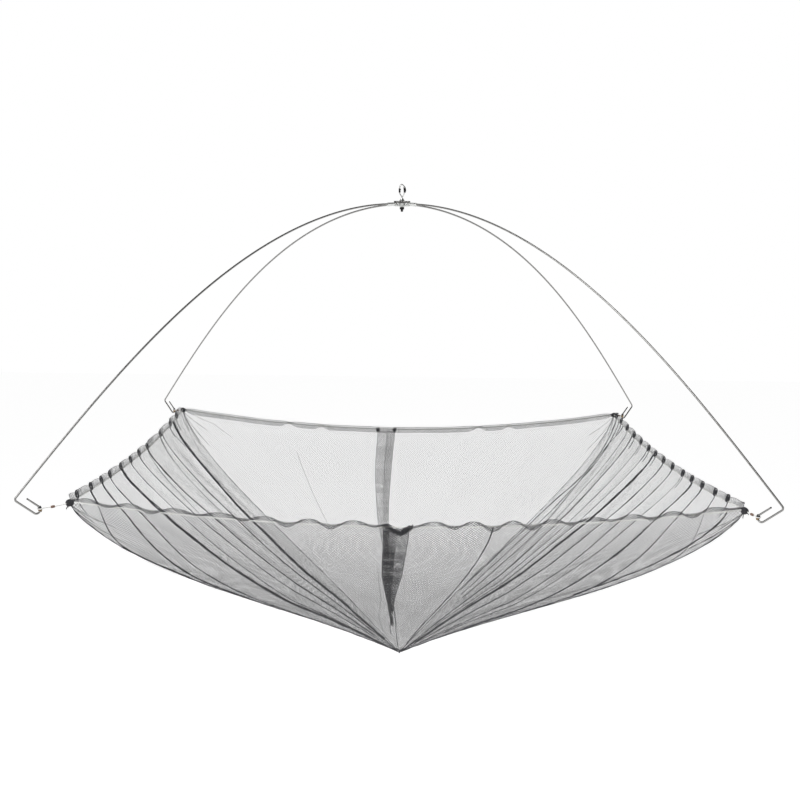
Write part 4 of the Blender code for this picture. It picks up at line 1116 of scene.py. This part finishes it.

# Hooks' lashings
# At each hook a wrap of tan twine holds a short white laid cord, which runs through a brown bead to the net's
# corner.
# Beside the twine a black wrap is painted shade in the hook's bend. There the netting and both rim cords are
# tied in a black knot.
TURN_STEPS = 16  # points in one turn of a wound thread
TWINE_R = 0.75 * MM
TWINE_TURNS = 3
# the black wrap beside the twine is painted shade: it stands for the shadow in the hook's bend
SHADE_WRAP_R = 0.6 * MM
SHADE_WRAP_TURNS = 5
WRAP_BACK, WRAP_ON = 7, 6  # steps of the wire before and after its wrapped place
CORNER_CORD_R = 0.9 * MM
CORD_SAG = 0.02  # of its length
BEAD_R = 2.0 * MM
BEAD_HALF = 2.9 * MM
BEAD_HOLE = 1.15 * MM
BEAD_ARC = 70  # degrees of roundness from its middle to the cut at each end
BEAD_CUT = 0.94  # the sine of it
KNOT_HALF = 5.6 * MM
KNOT_GRIP = 0.4  # of it lies between the lead cord's end and the corner
KNOT_CORE_R = 2.1 * MM
KNOT_OUTER_R = 3.9 * MM
KNOT_THREAD_R = 0.85 * MM
KNOT_TURNS, KNOT_TOP_TURNS = 8, 6
KNOT_ROUND = 0.35  # radians from the knot's middle line, where its roundness is cut off
KNOT_SLANTS = (-0.5, 0.1, 0.6)  # radians, of the turns that lie on top
KNOT_SLANT_LONG = 1.15
KNOT_SLANT_OUT = 1.1 * MM
TAILS = ((5 * MM, 0.5, -0.3), (4 * MM, -0.7, -0.9))  # length, and where they point: aside and up
TAIL_ON = 0.5  # and on into the net
TAIL_DROP = 3 * MM
TAN = (0.42, 0.27, 0.10, 1.0)
TAN_DARK = (0.20, 0.11, 0.04, 1.0)
BEAD_BROWN = (0.15, 0.085, 0.06, 1.0)
BEAD_PALE = (0.32, 0.21, 0.16, 1.0)


def wound(line, radius, turns, phase=0.0):
    """A line wound evenly round another; the radius may change along it."""
    line = even(np.asarray(line, float), 0.5 * MM)
    count = turns * TURN_STEPS + 1
    marks = np.linspace(0, len(line) - 1, count)
    core = np.stack([np.interp(marks, np.arange(len(line)), line[:, k]) for k in range(3)], axis=1)
    way = np.gradient(core, axis=0)
    way /= np.linalg.norm(way, axis=1)[:, None]
    side = np.cross(way[0], (0.31, 0.22, 0.93))  # any way across will do to start from
    sides = []
    for heading in way:
        side = unit(side - heading * (side @ heading))
        sides.append(side)
    sides = np.array(sides)
    angle = (phase + 2 * math.pi * turns * np.linspace(0, 1, count))[:, None]
    radius = np.broadcast_to(np.asarray(radius, float), (count,))[:, None]
    return core + radius * (np.cos(angle) * sides + np.sin(angle) * np.cross(way, sides))


def laid(name, lines, radius, finish, turn_length, strands=3):
    """Cord, twine or thread along the lines."""
    return made_by(cord_tree, name, lines_mesh(name, *lines), Material=finish, Cord_radius=radius,
                   Lay_length=turn_length, Strands=strands, Step=min(0.8 * MM, radius))


def from_faces(name, bm, finish, sharp=35.0):
    """Turns modelled faces into a piece with its finish."""
    mesh = bpy.data.meshes.new(name)
    bm.to_mesh(mesh)
    bm.free()
    mesh.materials.append(finish)
    return smooth(in_scene(name, mesh), sharp)


def lathe(name, outline, finish, steps=48, way=(0, 0, 1), place=(0, 0, 0), shaped=None, sharp=35.0):
    """A turned piece from a closed outline of radius and height; shaped may change a place's radius."""
    bm = bmesh.new()
    rings = []
    for radius, height in outline:
        ring = []
        for k in range(steps):
            angle = 2 * math.pi * k / steps
            out = shaped(angle, height, radius) if shaped else radius
            ring.append(bm.verts.new((out * math.cos(angle), out * math.sin(angle), height)))
        rings.append(ring)
    for lower, upper in zip(rings, rings[1:] + rings[:1]):
        for k in range(steps):
            bm.faces.new((lower[k], lower[(k + 1) % steps], upper[(k + 1) % steps], upper[k]))
    bmesh.ops.remove_doubles(bm, verts=bm.verts, dist=1e-7)
    bmesh.ops.dissolve_degenerate(bm, edges=bm.edges, dist=1e-7)
    bmesh.ops.delete(bm, geom=[v for v in bm.verts if not v.link_faces], context="VERTS")
    bmesh.ops.recalc_face_normals(bm, faces=bm.faces)
    bm.transform(Matrix.Translation(Vector(place)) @ Vector(way).to_track_quat("Z", "Y").to_matrix().to_4x4())
    return from_faces(name, bm, finish, sharp)


def rounded(radius, low, high, edge, steps=4):
    """The outer side of a turned outline with rounded edges, from its foot to its top."""
    angles = np.linspace(0, math.pi / 2, steps + 1)
    foot = [(radius - edge + edge * math.sin(a), low + edge - edge * math.cos(a)) for a in angles]
    return foot + [(radius - edge + edge * math.cos(a), high - edge + edge * math.sin(a)) for a in angles]


def lashing_finish(name, colours, fuzz):
    """Spun thread: uneven dye, and fine fibres that stand off it."""
    return patchy_look(name, colours, 260.0, (0.35, 0.65), (0.65, 0.9), (6000.0, 3.0), fuzz, sheen=0.25)


tan_twine = lashing_finish("tan twine", (TAN, TAN_DARK), 0.08 * MM)
black_thread = lashing_finish("black lashing thread", (THREAD_BLACK, THREAD_DUSTY), 0.05 * MM)
bead_look = patchy_look("stained bead", (BEAD_BROWN, BEAD_PALE), 900.0, (0.4, 0.72), (0.35, 0.6),
                        (900.0, 4.0), 0.05 * MM, stretch=(1.0, 1.0, 0.15))
for name in ARMS:
    arm = f"arm_{name}"
    eye = on_arm(name, arm_line)[wrapped]
    near = on_arm(name, arm_line)[wrapped - WRAP_BACK : wrapped + WRAP_ON]
    half_way = len(near) // 2
    twine = wound(near[: half_way + 1], WIRE_R + TWINE_R, TWINE_TURNS)
    piece = laid(f"twine_wrap_{name}", [twine], TWINE_R, tan_twine, 3.4 * MM)
    hang_piece(piece, arm, "brown_cord", f"corner_wrap_{name}")
    # Painted shade: a black wrap of thread beside the twine stands for the shadow in the bend of the hook.
    shade_turns = wound(near[half_way:], WIRE_R + SHADE_WRAP_R, SHADE_WRAP_TURNS)
    piece = laid(f"thread_wrap_{name}", [shade_turns], SHADE_WRAP_R, black_thread, 2.4 * MM)
    hang_piece(piece, arm, "black_thread", f"corner_wrap_{name}")

    inward = unit(corner[name] - eye)
    start = eye + inward * (WIRE_R + 2 * TWINE_R)
    end = corner[name] - inward * KNOT_GRIP * KNOT_HALF
    share = np.linspace(0, 1, 25)[:, None]
    sag = np.array((0, 0, 4 * CORD_SAG * np.linalg.norm(end - start)))
    lead = start + (end - start) * share - sag * (share * (1 - share))
    across = unit(np.cross(inward, (0, 0, 1)))
    angles = np.radians(np.linspace(200, -20, 15))[:, None]
    loop = eye + (WIRE_R + TWINE_R * 2 + CORNER_CORD_R) * (np.cos(angles) * across - np.sin(angles) * inward)
    route = np.concatenate([loop, lead[2:]])
    piece = laid(f"lead_cord_{name}", [even(route, 1 * MM)], CORNER_CORD_R, white_cord, 5.5 * MM)
    hang_piece(piece, arm, "white_cord", f"corner_cord_{name}")

    outer = [(BEAD_HOLE, -BEAD_HALF)]
    for angle in np.linspace(-BEAD_ARC, BEAD_ARC, 15):
        swell = math.cos(math.radians(angle)) ** 0.55
        height = BEAD_HALF * math.sin(math.radians(angle)) / BEAD_CUT
        outer.append((BEAD_HOLE + (BEAD_R - BEAD_HOLE) * swell, height))
    outer.append((BEAD_HOLE, BEAD_HALF))
    piece = lathe(f"bead_{name}", outer, bead_look, 28, inward, middle(f"corner_bead_{name}"))
    hang_piece(piece, arm, "brown_cord", f"corner_bead_{name}")

    axis = corner[name] + inward * np.linspace(-KNOT_HALF, KNOT_HALF, 9)[:, None]
    swell = np.sin(np.linspace(KNOT_ROUND, math.pi - KNOT_ROUND, KNOT_TOP_TURNS * TURN_STEPS + 1))
    turns = [wound(axis, KNOT_CORE_R, KNOT_TURNS),
             wound(axis[1:-1], KNOT_OUTER_R * (0.62 + 0.38 * swell), KNOT_TOP_TURNS, 1.0)]
    up = np.cross(across, inward)
    for lean in KNOT_SLANTS:
        angles = np.radians(np.linspace(0, 350, 26))[:, None]
        slanted = inward * math.cos(lean) + across * math.sin(lean)
        round_way = np.cos(angles) * up + KNOT_SLANT_LONG * np.sin(angles) * slanted
        turns.append(corner[name] + (KNOT_OUTER_R + KNOT_SLANT_OUT) * round_way)
    for tail, aside_share, up_share in TAILS:
        bend = np.linspace(0, 1, 12)[:, None]
        way = across * aside_share + up * up_share - inward * TAIL_ON
        drop = np.array((0, 0, TAIL_DROP)) * bend ** 2
        turns.append(corner[name] + way * (KNOT_OUTER_R + tail * bend) - drop)
    piece = laid(f"knot_{name}", turns, KNOT_THREAD_R, black_thread, 2.6 * MM)
    hang_piece(piece, arm, "black_thread", f"corner_knot_{name}")

# Tip of the bag
# At its foot the netting is drawn together and whipped with black thread. The mesh opens out above
# the whipping at the bag's own slope, and its cut ends stand out below as a short tuft.
WHIP_UP = 2.4 * MM  # of the whipping's middle, above the foot of the netting
WHIP_HALF = 1.4 * MM
WHIP_R = 1.8 * MM
WHIP_TURNS = 5
WHIP_THREAD_R = 0.42 * MM
TIP_STRANDS = 26
TIP_SEED = 5
FLARE_R = 9.0 * MM
FLARE_UP = 8.0 * MM
TUFT_DOWN = 1.0 * MM
TUFT_R = 1.7 * MM
STRAND_R = 0.30 * MM

strands = []
scatter = np.random.default_rng(TIP_SEED)
for k in range(TIP_STRANDS):
    angle = 2 * math.pi * (k + scatter.uniform(-0.3, 0.3)) / TIP_STRANDS
    spread = np.array((math.cos(angle), math.sin(angle), 0))
    foot = -TUFT_DOWN * scatter.uniform(0.75, 1.0)
    inner = scatter.uniform(0.5, 0.95) * (WHIP_R - WHIP_THREAD_R - STRAND_R)
    marks = ((foot, TUFT_R * scatter.uniform(0.2, 1.0)), (WHIP_UP - WHIP_HALF, inner),
             (WHIP_UP, inner * 0.95), (WHIP_UP + WHIP_HALF, inner * 1.1), (FLARE_UP, FLARE_R))
    heights, radii = np.array(marks).T
    height = np.linspace(foot, FLARE_UP, 16)
    radius = np.interp(height, heights, radii)
    strands.append(tip + spread * radius[:, None] + np.array((0, 0, 1)) * height[:, None])
whip_line = tip + np.array((0, 0, 1)) * (WHIP_UP + np.linspace(-WHIP_HALF, WHIP_HALF, 5))[:, None]
piece = laid("tip_strands", strands, STRAND_R, net_thread, 2.0 * MM, 2)
hang_piece(piece, "hub", "black_thread", "bag_tip_knot")
piece = laid("tip_whipping", [wound(whip_line, WHIP_R, WHIP_TURNS)], WHIP_THREAD_R, black_thread, 1.8 * MM)
hang_piece(piece, "hub", "black_thread", "bag_tip_knot")

# Hub
# A near-black enamelled top plate, its black partly painted shade and dark reflection, and a plated lower
# plate are clamped on a spacer by an M5 bolt and nut.
# The lower plate's ears, turned up at its corners, carry the arms' sockets on headed pins.
HUB_CLEAR = 0.3 * MM
PIN_R = 1.0 * MM
PIN_HEAD_R = 1.7 * MM
PIN_HALF = 3.4 * MM  # to the underside of its heads
PIN_DOME = 0.7 * MM
SOCKET_R = 2.5 * MM
SOCKET_FROM = 3.3 * MM
SOCKET_BORE_R = 1.65 * MM
SOCKET_EDGE = 0.3 * MM
CRIMPS = (11.0 * MM, 15.5 * MM)
CRIMP_DEEP = 0.35 * MM
TONGUE_HALF = 1.8 * MM
TONGUE_R = 2.4 * MM
TONGUE_LONG = 4.6 * MM
BOLT_R = 2.4 * MM
BOLT_THREAD = 0.8 * MM  # pitch
BOLT_THREAD_DEEP = 0.42 * MM
BOLT_THREADED = 8.0 * MM  # of its length
BORE_R = BOLT_R + HUB_CLEAR
NUT_CHAMFER = 0.9 * MM
COLLAR_TOP_R = 2.6 * MM
STEM_HOLE_R = 1.4 * MM
HOLLOW_HIGH = 3.4 * MM  # of the collar's inside, where the stem's head turns
ZINC = (0.80, 0.81, 0.79, 1.0)
ZINC_DULL = (0.52, 0.53, 0.52, 1.0)
ZINC_BLOOM = (0.70, 0.71, 0.70, 1.0)
# Painted shade and reflection: the top plate's black is partly its paint and partly the shade and dark
# reflection along the hub's edge.
ENAMEL_AND_SHADE = (0.011, 0.011, 0.012, 1.0)
BLACK_STEEL = (0.022, 0.022, 0.023, 1.0)
BARE_STEEL = (0.40, 0.39, 0.37, 1.0)
BRIGHT_STEEL = (0.42, 0.42, 0.41, 1.0)
TOP_PLATE_HALF = 15 * MM
RUBBED_EDGE = 0.5 * MM


def zinc_plating():
    """Bright zinc with a faint crystal bloom and greyed patches."""
    look, tree, shader = new_look("zinc plating", ZINC, 0.3, 1.0)
    worn = marked(tree, shader, 1.0, 0.35, 0.22, 0.42, 0.02 * MM)
    place = step(tree, "ShaderNodeTexCoord").outputs["Object"]
    bloom = step(tree, "ShaderNodeTexVoronoi", {"Vector": place, "Scale": 900.0}).outputs["Color"]
    plated = mixed(tree, ranged(tree, shade(tree, "SeparateColor", {0: bloom}), 0.0, 1.0), ZINC, ZINC_BLOOM)
    feed(tree, shader, Base_Color=mixed(tree, worn, plated, ZINC_DULL))
    return look


def black_enamel_and_shade():
    """Satin enamelled black, partly painted shade and dark reflection, rubbed through to the steel along the
    plate's edges.
    """
    look, tree, shader = new_look("black enamel", ENAMEL_AND_SHADE, 0.35)
    worn = marked(tree, shader, 0.7, 0.3, 0.3, 0.5, 0.02 * MM)
    place = step(tree, "ShaderNodeTexCoord").outputs["Object"]
    axes = step(tree, "ShaderNodeSeparateXYZ", {0: vector_of(tree, "ABSOLUTE", place)}).outputs
    reach = sum_of(tree, "MAXIMUM", axes["X"], axes["Y"])
    edge = ranged(tree, reach, TOP_PLATE_HALF - RUBBED_EDGE, TOP_PLATE_HALF)
    rubbed = ranged(tree, sum_of(tree, "MULTIPLY", edge, blotches(tree, 700.0)), 0.5, 0.56)
    bare = sum_of(tree, "MAXIMUM", rubbed, sum_of(tree, "MULTIPLY", worn, 0.25))
    feed(tree, shader, Base_Color=mixed(tree, bare, ENAMEL_AND_SHADE, BARE_STEEL), Metallic=rubbed)
    return look


def blackened_steel():
    """Steel with a black oxide skin, rubbed brighter in spots."""
    look, tree, shader = new_look("blackened steel", BLACK_STEEL, 0.4, 1.0)
    worn = marked(tree, shader, 1.3, 0.45, 0.3, 0.5, 0.03 * MM)
    feed(tree, shader, Base_Color=mixed(tree, sum_of(tree, "MULTIPLY", worn, 0.35), BLACK_STEEL, BARE_STEEL))
    return look


def bright_wire_finish():
    """Bright drawn wire with faint greyed patches."""
    look, tree, shader = new_look("bright wire", BRIGHT_STEEL, 0.22, 1.0)
    worn = marked(tree, shader, 1.5, 0.4, 0.16, 0.32, 0.015 * MM)
    feed(tree, shader, Base_Color=mixed(tree, worn, BRIGHT_STEEL, ZINC_DULL))
    return look


def finished(node, name, finish, edge):
    """A copy of a solid with its loose faces joined and its edges softened."""
    bm = bmesh.new()
    bm.from_mesh(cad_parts[node].data)
    bmesh.ops.remove_doubles(bm, verts=bm.verts, dist=2e-6)
    bmesh.ops.dissolve_limit(bm, angle_limit=math.radians(1.5), verts=bm.verts, edges=bm.edges)
    bmesh.ops.recalc_face_normals(bm, faces=bm.faces)
    edges = [e for e in bm.edges if len(e.link_faces) == 2 and e.calc_face_angle() > math.radians(40)]
    bmesh.ops.bevel(bm, geom=edges, offset=edge, segments=3, affect="EDGES", profile=0.5, clamp_overlap=True)
    return from_faces(name, bm, finish)


def bolt_thread(angle, height, radius):
    """Cuts the thread into the bolt's outer side, and leaves its shank plain."""
    if radius < 0.9 * BOLT_R or height > bolt_foot + BOLT_THREADED:
        return radius
    share = (height / BOLT_THREAD - angle / (2 * math.pi)) % 1
    return radius - BOLT_THREAD_DEEP * abs(2 * share - 1)


def hexagon(angle, height, radius):
    """Six flats, with the corners turned off at both faces; the radius given is to the corners."""
    if radius < 0.6 * nut_r:
        return radius
    half = math.radians(30)  # of a flat, seen from the axis
    flat = nut_r * math.cos(half) / math.cos((angle - half) % math.radians(60) - half)
    return min(flat, radius)


def crimped(angle, height, radius):
    """Two crimps press the socket flat against the wire."""
    if radius < 0.9 * SOCKET_R:
        return radius
    press = max(math.exp(-((height - place) / (0.9 * MM)) ** 2) for place in CRIMPS)
    return radius - CRIMP_DEEP * press * (0.6 + 0.4 * math.cos(2 * angle))


def extruded(name, outline, half, finish, edge, place):
    """A flat outline of distance along the arm and height, given a thickness to both sides of the arm."""
    bm = bmesh.new()
    front = [bm.verts.new((a, -half, b)) for a, b in outline]
    face = bm.faces.new(front)
    back = bmesh.ops.extrude_face_region(bm, geom=[face])["geom"]
    moved = [v for v in back if isinstance(v, bmesh.types.BMVert)]
    bmesh.ops.translate(bm, verts=moved, vec=(0, 2 * half, 0))
    bmesh.ops.recalc_face_normals(bm, faces=bm.faces)
    rim = [e for e in bm.edges if e.calc_face_angle() > math.radians(60)]
    bmesh.ops.bevel(bm, geom=rim, offset=edge, segments=2, affect="EDGES", profile=0.5, clamp_overlap=True)
    bm.transform(place)
    return from_faces(name, bm, finish)


def merged(name, *pieces):
    """Several shapes as one piece."""
    bm = bmesh.new()
    for part in pieces:
        bm.from_mesh(part.data)
    finish = pieces[0].data.materials[0]
    for part in pieces:
        bpy.data.objects.remove(part, do_unlink=True)
    return from_faces(name, bm, finish)


def domed_pin(name, radius, head_radius, half, dome, way, place):
    """A pin with a low domed head at each end."""
    head = [(head_radius * math.cos(a), half + dome * math.sin(a)) for a in np.radians(np.linspace(0, 90, 7))]
    foot = [(0, -head[-1][1])] + [(r, -h) for r, h in reversed(head[:-1])]
    return lathe(name, foot + [(radius, -half), (radius, half)] + head, bright, 32, way, place)


def collar_outline(bore, radius, low, high, edge):
    """A ring round a bore, with its outer edges rounded."""
    return [(bore, low)] + rounded(radius, low, high, edge) + [(bore, high)]


def span(node):
    """A node's lowest and highest place."""
    low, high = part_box(node)
    return low.z, high.z


zinc, enamel_and_shade = zinc_plating(), black_enamel_and_shade()
black_steel, bright = blackened_steel(), bright_wire_finish()
for name, azimuth in ARMS.items():
    angle = math.radians(azimuth)
    pivot = Vector((PIN_RADIUS * math.cos(angle), PIN_RADIUS * math.sin(angle), PIN_Z))
    place = Matrix.Translation(pivot) @ Matrix.Rotation(angle, 4, "Z")
    slope = math.radians(SOCKET_SLOPE)
    way = place.to_3x3() @ Vector((math.cos(slope), 0, -math.sin(slope)))
    outline = [(0, SOCKET_FROM), (SOCKET_R - SOCKET_EDGE, SOCKET_FROM), (SOCKET_R, SOCKET_FROM + SOCKET_EDGE)]
    outline += [(SOCKET_R, h) for h in np.linspace(SOCKET_FROM + 1.5 * MM, SOCKET_END - 0.5 * MM, 40)]
    outline += [(SOCKET_R - SOCKET_EDGE, SOCKET_END), (SOCKET_BORE_R, SOCKET_END),
                (SOCKET_BORE_R, WIRE_START - HUB_CLEAR), (0, WIRE_START - HUB_CLEAR)]
    barrel = lathe("barrel", outline, zinc, 40, way, pivot, crimped)
    nose = [(TONGUE_R * math.cos(a), TONGUE_R * math.sin(a)) for a in np.radians(np.linspace(90, 270, 20))]
    root = [(TONGUE_LONG, -0.9 * TONGUE_R), (TONGUE_LONG, 0.9 * TONGUE_R)]
    tongue = extruded("tongue", nose + root, TONGUE_HALF, zinc, 0.25 * MM, place)
    piece = merged(f"crimped_socket_{name}", barrel, tongue)
    hang_piece(piece, f"arm_{name}", "zinc_plate", f"arm_socket_{name}")

    piece = domed_pin(f"headed_pin_{name}", PIN_R, PIN_HEAD_R, PIN_HALF, PIN_DOME,
                      place.to_3x3() @ Vector((0, 1, 0)), pivot)
    hang_piece(piece, "hub", "bright_wire", f"hinge_pin_{name}")

# The top plate's near-black colour is partly painted shade and dark reflection.
piece = finished("hub_top_plate", "enamelled_plate", enamel_and_shade, 0.45 * MM)
hang_piece(piece, "hub", "black_paint", "hub_top_plate")
piece = finished("hub_low_plate", "eared_plate", zinc, 0.18 * MM)
hang_piece(piece, "hub", "zinc_plate", "hub_low_plate")
for node, name, edge in (("hub_spacer", "turned_spacer", 0.5 * MM), ("hub_washer", "flat_washer", 0.2 * MM)):
    foot, top = span(node)
    outer = (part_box(node)[1].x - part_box(node)[0].x) / 2
    outline = collar_outline(BORE_R, outer, foot, top, edge)
    hang_piece(lathe(name, outline, zinc, 64), "hub", "zinc_plate", node)

foot, top = span("hub_nut")
nut_low, nut_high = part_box("hub_nut")
nut_r = max(nut_high.x - nut_low.x, nut_high.y - nut_low.y) / 2
outline = [(BORE_R, foot), (nut_r - NUT_CHAMFER, foot)]
outline += [(nut_r - NUT_CHAMFER * (1 - s) ** 2, foot + 0.5 * NUT_CHAMFER * s) for s in (0.3, 0.65, 1.0)]
outline += [(nut_r - NUT_CHAMFER * s ** 2, top - 0.5 * NUT_CHAMFER * (1 - s)) for s in (0.0, 0.35, 0.7)]
outline += [(nut_r - NUT_CHAMFER, top), (BORE_R, top)]
piece = lathe("hexagon_nut", outline, black_steel, 96, shaped=hexagon, sharp=25.0)
hang_piece(piece, "hub", "black_steel", "hub_nut")

bolt_foot, top = span("centre_bolt")
outline = [(0, bolt_foot), (0.55 * BOLT_R, bolt_foot), (0.85 * BOLT_R, bolt_foot + 0.35 * MM)]
outline += [(BOLT_R, h) for h in np.arange(bolt_foot + 0.6 * MM, bolt_foot + 7.5 * MM, 0.1 * MM)]
outline += [(BOLT_R * 0.999, bolt_foot + 8.4 * MM), (BOLT_R * 0.89, top - 0.3 * MM)]
outline += [(0.8 * BOLT_R, top), (0, top)]
piece = lathe("threaded_bolt", outline, black_steel, 48, shaped=bolt_thread)
hang_piece(piece, "hub", "black_steel", "centre_bolt")

foot, top = span("swivel_collar")
base_r = (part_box("swivel_collar")[1].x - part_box("swivel_collar")[0].x) / 2
rim = [(base_r - 0.5 * MM + 0.5 * MM * math.cos(a), foot + 0.55 * MM + 0.55 * MM * math.sin(a))
       for a in np.radians(np.linspace(-90, 90, 9))]
cone = [(COLLAR_TOP_R + (0.82 * base_r - COLLAR_TOP_R) * (1 - s) ** 1.3,
         foot + 1.3 * MM + (top - foot - 1.6 * MM) * s) for s in np.linspace(0, 1, 9)]
hollow = [(COLLAR_TOP_R - 0.25 * MM, top), (STEM_HOLE_R, top), (STEM_HOLE_R, foot + HOLLOW_HIGH),
          (BORE_R, foot + HOLLOW_HIGH)]
outline = [(BORE_R, foot)] + rim + cone + hollow
hang_piece(lathe("coned_collar", outline, zinc, 56), "hub", "zinc_plate", "swivel_collar")

# Snap link
# A pear of bent 1.9 mm wire runs through a crimped black ferrule on the left, whose tooth guides
# the line in. A forked black gate turns on a rivet at the right and is sprung shut.
LINK_WIRE_R = 0.95 * MM
LINK_WIRE_SIDES = 20
LINK_WIRE_END = 0.7
LINK_STEM_R = 1.1 * MM
LINK_STEM_HEAD_R = 2.2 * MM
LINK_LEFT_X = -4.7 * MM
GATE_PIVOT = (4.2 * MM, -4.8 * MM)
GATE_LONG = 9.4 * MM
FERRULE_R = 1.85 * MM
FERRULE_BORE_R = 1.3 * MM
PADDLE_R = 1.8 * MM
PADDLE_HALF = 0.8 * MM
RIVET_R = 0.5 * MM
RIVET_HEAD_R = 1.1 * MM
RIVET_HALF = 2.2 * MM
RIVET_DOME = 0.7 * MM
FERRULE_CRIMPS = 3
FERRULE_NIP = 0.28 * MM

collar_foot, collar_top = span("swivel_collar")
neck_z = collar_top + 2.3 * MM + HUB_CLEAR
ferrule_foot, ferrule_top = span("link_ferrule")
catch = (4.0 * MM, GATE_PIVOT[1] - GATE_LONG - 0.6 * MM)
bends = [  # from the catch down to the neck, up through the ferrule and over to the gate's rivet
    catch, (3.0 * MM, catch[1] - 2.6 * MM), (0.3 * MM, neck_z + 0.2 * MM), (-2.6 * MM, neck_z + 3.2 * MM),
    (LINK_LEFT_X, ferrule_foot - 0.4 * MM), (LINK_LEFT_X, ferrule_top + 0.2 * MM), (-3.7 * MM, -1.8 * MM),
    (-1.2 * MM, LINK_WIRE_R), (1.8 * MM, -0.6 * MM), (3.5 * MM, -2.8 * MM), GATE_PIVOT,
]


def curved_through(marks, per_span):
    """A smooth line through marks of x and z, which keeps the way that each pair of neighbours gives."""
    marks = np.array(marks)
    ends = np.concatenate([[2 * marks[0] - marks[1]], marks, [2 * marks[-1] - marks[-2]]])
    places = []
    for a, b, c, d in zip(ends, ends[1:], ends[2:], ends[3:]):
        for t in np.linspace(0, 1, per_span, endpoint=False):
            places.append(0.5 * (2 * b + (c - a) * t + (2 * a - 5 * b + 4 * c - d) * t ** 2
                                 + (3 * b - a - 3 * c + d) * t ** 3))
    places.append(marks[-1])
    return np.array([(x, 0, z) for x, z in places])


def ferrule_crimps(angle, height, radius):
    """The ferrule is nipped three times by the crimping tool."""
    if radius < 0.9 * FERRULE_R:
        return radius
    share = (height - ferrule_foot) / (ferrule_top - ferrule_foot)
    nip = max(0.0, math.sin(2 * math.pi * FERRULE_CRIMPS * share - math.pi / 2))
    if not 0.05 < share < 0.95:
        nip = 0
    return radius - FERRULE_NIP * nip * (0.7 + 0.3 * math.cos(2 * angle))


wire = made_by(wire_tree, "link wire", lines_mesh("link", curved_through(bends, 12)), Material=bright,
               Wire_radius=LINK_WIRE_R, Sides=LINK_WIRE_SIDES, End=LINK_WIRE_END)
head_foot = collar_foot + 1.9 * MM
outline = [(0, head_foot)] + rounded(LINK_STEM_HEAD_R, head_foot, head_foot + 1.2 * MM, 0.3 * MM)
outline += [(LINK_STEM_R, head_foot + 1.2 * MM), (LINK_STEM_R, neck_z - 1.4 * MM)]
outline += [(1.5 * MM, neck_z - 0.2 * MM), (1.35 * MM, neck_z + 0.8 * MM)]
outline += [(0.8 * MM, neck_z + 1.2 * MM), (0, neck_z + 1.25 * MM)]
stem = lathe("stem", outline, bright, 36)
outline = collar_outline(RIVET_R + 0.2 * MM, PADDLE_R, -PADDLE_HALF, PADDLE_HALF, 0.3 * MM)
gate_axis = (0, 1, 0), (GATE_PIVOT[0], 0, GATE_PIVOT[1])
paddle = lathe("paddle", outline, bright, 36, *gate_axis)
hang_piece(merged("pear_wire", wire, stem, paddle), "link", "bright_wire", "snap_link")

outline = [(FERRULE_BORE_R, ferrule_foot), (FERRULE_R - 0.3 * MM, ferrule_foot)]
outline += [(FERRULE_R, h) for h in np.linspace(ferrule_foot + 0.3 * MM, ferrule_top - 0.3 * MM, 40)]
outline += [(FERRULE_R - 0.3 * MM, ferrule_top), (FERRULE_BORE_R, ferrule_top)]
sleeve = lathe("sleeve", outline, black_steel, 36, place=(LINK_LEFT_X, 0, 0), shaped=ferrule_crimps)
tooth_root, tooth_tip = LINK_LEFT_X + FERRULE_R - 0.5 * MM, LINK_LEFT_X + FERRULE_R + 1.0 * MM
tooth_z = (ferrule_foot + ferrule_top) / 2 + 1.6 * MM
marks = [(tooth_root, tooth_z - 1.2 * MM), (tooth_tip, tooth_z + 0.2 * MM), (tooth_tip, tooth_z + 0.6 * MM),
         (tooth_root, tooth_z + 1.0 * MM)]
tooth = extruded("tooth", marks, 0.6 * MM, black_steel, 0.12 * MM, Matrix())
hang_piece(merged("crimped_ferrule", sleeve, tooth), "link", "black_steel", "link_ferrule")

piece = domed_pin("domed_rivet", RIVET_R, RIVET_HEAD_R, RIVET_HALF, RIVET_DOME, *gate_axis)
hang_piece(piece, "link", "bright_wire", "gate_rivet")
piece = finished("snap_gate", "forked_gate", black_steel, 0.4 * MM)
hang_piece(piece, "gate", "black_steel", "snap_gate")
